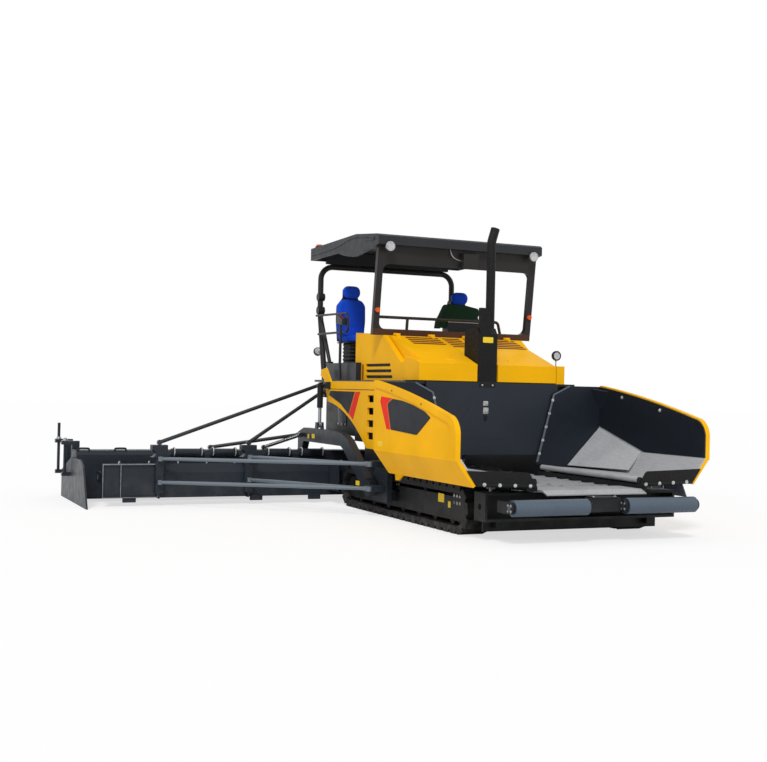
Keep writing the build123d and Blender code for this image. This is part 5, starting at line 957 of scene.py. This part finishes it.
bpy.ops.mesh.tris_convert_to_quads()
bpy.ops.object.mode_set(mode="OBJECT")
hem = cover.vertex_groups.new(name="hem")
for vertex in cover.data.vertices:
    spot = vertex.co
    carried = abs(spot.y - (COVER_FRONT + COVER_REAR) / 2) < 0.06 and spot.z > 2.80
    if spot.z < 2.645 or (carried and min(abs(spot.x - x) for x in (0.345, 0.455, 0.830)) < 0.02):
        hem.add([vertex.index], 1.0, "REPLACE")
drape = cover.modifiers.new("drape", "CLOTH")
drape.settings.vertex_group_mass = "hem"
drape.settings.tension_stiffness = 40
drape.settings.bending_stiffness = 0.4
drape.settings.use_pressure = False
drape.settings.effector_weights.gravity = 0.35
settle(cover, drape, COVER_FRAMES, COVER_CAP)
soften = cover.modifiers.new("soften", "SUBSURF")
soften.levels = soften.render_levels = 2
bpy.ops.object.select_all(action="DESELECT")
cover.select_set(True)
bpy.context.view_layer.objects.active = cover
bpy.ops.object.modifier_apply(modifier="soften")
fit(cover, green, "tractor", 180)
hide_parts("console_cover")
HEAD_FACE = DATUM + 1.930
trim = cut_plate("console_sill", box_of(0.345, 0.865, 2.600, 2.616), "y", HEAD_FACE, -0.006, 0.004, 0.002)
fit(trim, zinc, "tractor")
knobs = [(-1.195, DATUM + y, 2.600 + 0.286 * (y - 2.2) + 0.02) for y in (2.14, 2.20, 2.26)]
bolts(
    "control_knobs", [(x, y, z - 0.004) for x, y, z in knobs], (0, -0.27, 1), 0.012, red, "tractor",
)

# Screed towed by two arms: black-slate fabricated boxes in sections, with steel stays and lift
# cylinders. Bent rods make the straps and the end handles, and the plates on the arms are blank.
dress(slate, "tow_brackets", "tow_arm_left", "tow_arm_right", "auger_support", "screed_centre",
      "screed_extension_left", "screed_extension_right", "end_gate_left", "end_gate_right")
dress(black, "lift_barrel_left", "lift_barrel_right")
dress(rod_chrome, "lift_rod_left", "lift_rod_right")
# Brace rods: dark slate above 0.80 m and a lighter blue-grey below it. The lighter lower rods are painted
# highlight, standing in for the light on the tops of the horizontal push rods.
brace_paint = finish(
    "brace_paint", dip_and_highlight,
    {"Colour": (0.022, 0.028, 0.034, 1), "Primer And Highlight": (0.125, 0.155, 0.185, 1), "Line": 0.80}, 0.02,
    metallic=0.35, coat=0.3, depth=PEEL, shine=0.5,
)
dress(brace_paint, "brace_rods")
stay_paint = finish(
    "stay_paint", film, {"Colour": (0.022, 0.028, 0.034, 1), "Gloss": 0.2}, 0.02, coat=0.5, depth=PEEL,
    shine=0.5,
)
dress(stay_paint, "screed_stays")
dress(steel, "auger_left", "auger_right")
ARM_FACE = 1.450
# Light grey strips along the outline of the auger channel's framed panel: painted highlight for the light
# caught on the plate edges, partly worn steel as well.
edge_highlight_and_wear = finish(
    "edge_highlight_and_wear", plate_film, {"Colour": (0.34, 0.36, 0.38, 1), "Stain": (0.05, 0.055, 0.06, 1), "Wear": 0.8},
    0.05,
)
STRAP = [(2.990, 0.722), (2.945, 0.742), (2.890, 0.735), (2.882, 0.690), (2.886, 0.640), (2.912, 0.628)]
MODULES = ((1.130, 1.525), (1.645, 2.035), (2.455, 2.850), (2.945, 3.405))
HANDLE_Y = 2.975
HANDLE = [
    (-0.075, 0.690), (-0.075, 0.715), (-0.070, 0.728), (0.070, 0.728), (0.075, 0.715), (0.075, 0.690),
]
CHANNEL_FACE = DATUM + 2.266
CHANNEL_EDGES = [(3.746, 4.478, 0.548, 0.558), (3.746, 4.478, 0.112, 0.120), (4.470, 4.478, 0.12, 0.548),
                 (4.236, 4.244, 0.12, 0.548), (3.746, 3.754, 0.12, 0.548)]
for side, word in SIDES:
    for number, (y, z, half, tall) in enumerate(
        ((2.559, 0.922, 0.055, 0.032), (2.754, 0.913, 0.030, 0.030), (0.898, 0.388, 0.060, 0.030))
    ):
        outline = box_of(DATUM + y - half, DATUM + y + half, z - tall, z + tall)
        plate = cut_plate(f"notice_arm_{word}_{number}", outline, "x", side * ARM_FACE, side * SHEET, 0.008)
        fit(plate, blank, "screed")
    for number, (start, end) in enumerate(MODULES):
        for x in (start + 0.035, end - 0.035):
            route = [(side * x, DATUM + y, z) for y, z in STRAP]
            name = f"module_strap_{word}_{number}_{'in' if x < (start + end) / 2 else 'out'}"
            bar(name, route, 0.009, white_zinc, "screed")
    for number, x in enumerate((4.106, 4.603)):
        route = [(side * (x + across), DATUM + HANDLE_Y, z) for across, z in HANDLE]
        bar(f"end_handle_{word}_{number}", route, 0.012, black, "screed")
    # Channel edge strips: the painted edge highlight, partly worn steel.
    for number, edges in enumerate(CHANNEL_EDGES):
        outline = [(side * x, z) for x, z in box_of(*edges)]
        line = cut_plate(f"channel_edge_{word}_{number}", outline, "y", CHANNEL_FACE, -0.002)
        fit(line, edge_highlight_and_wear, "tractor")
    collars = [(side * 4.790, DATUM + y, 0.810) for y in (3.340, 3.880)]
    bolts(f"spindle_collars_{word}", collars, (0, 0, 1), 0.034, zinc, "screed")
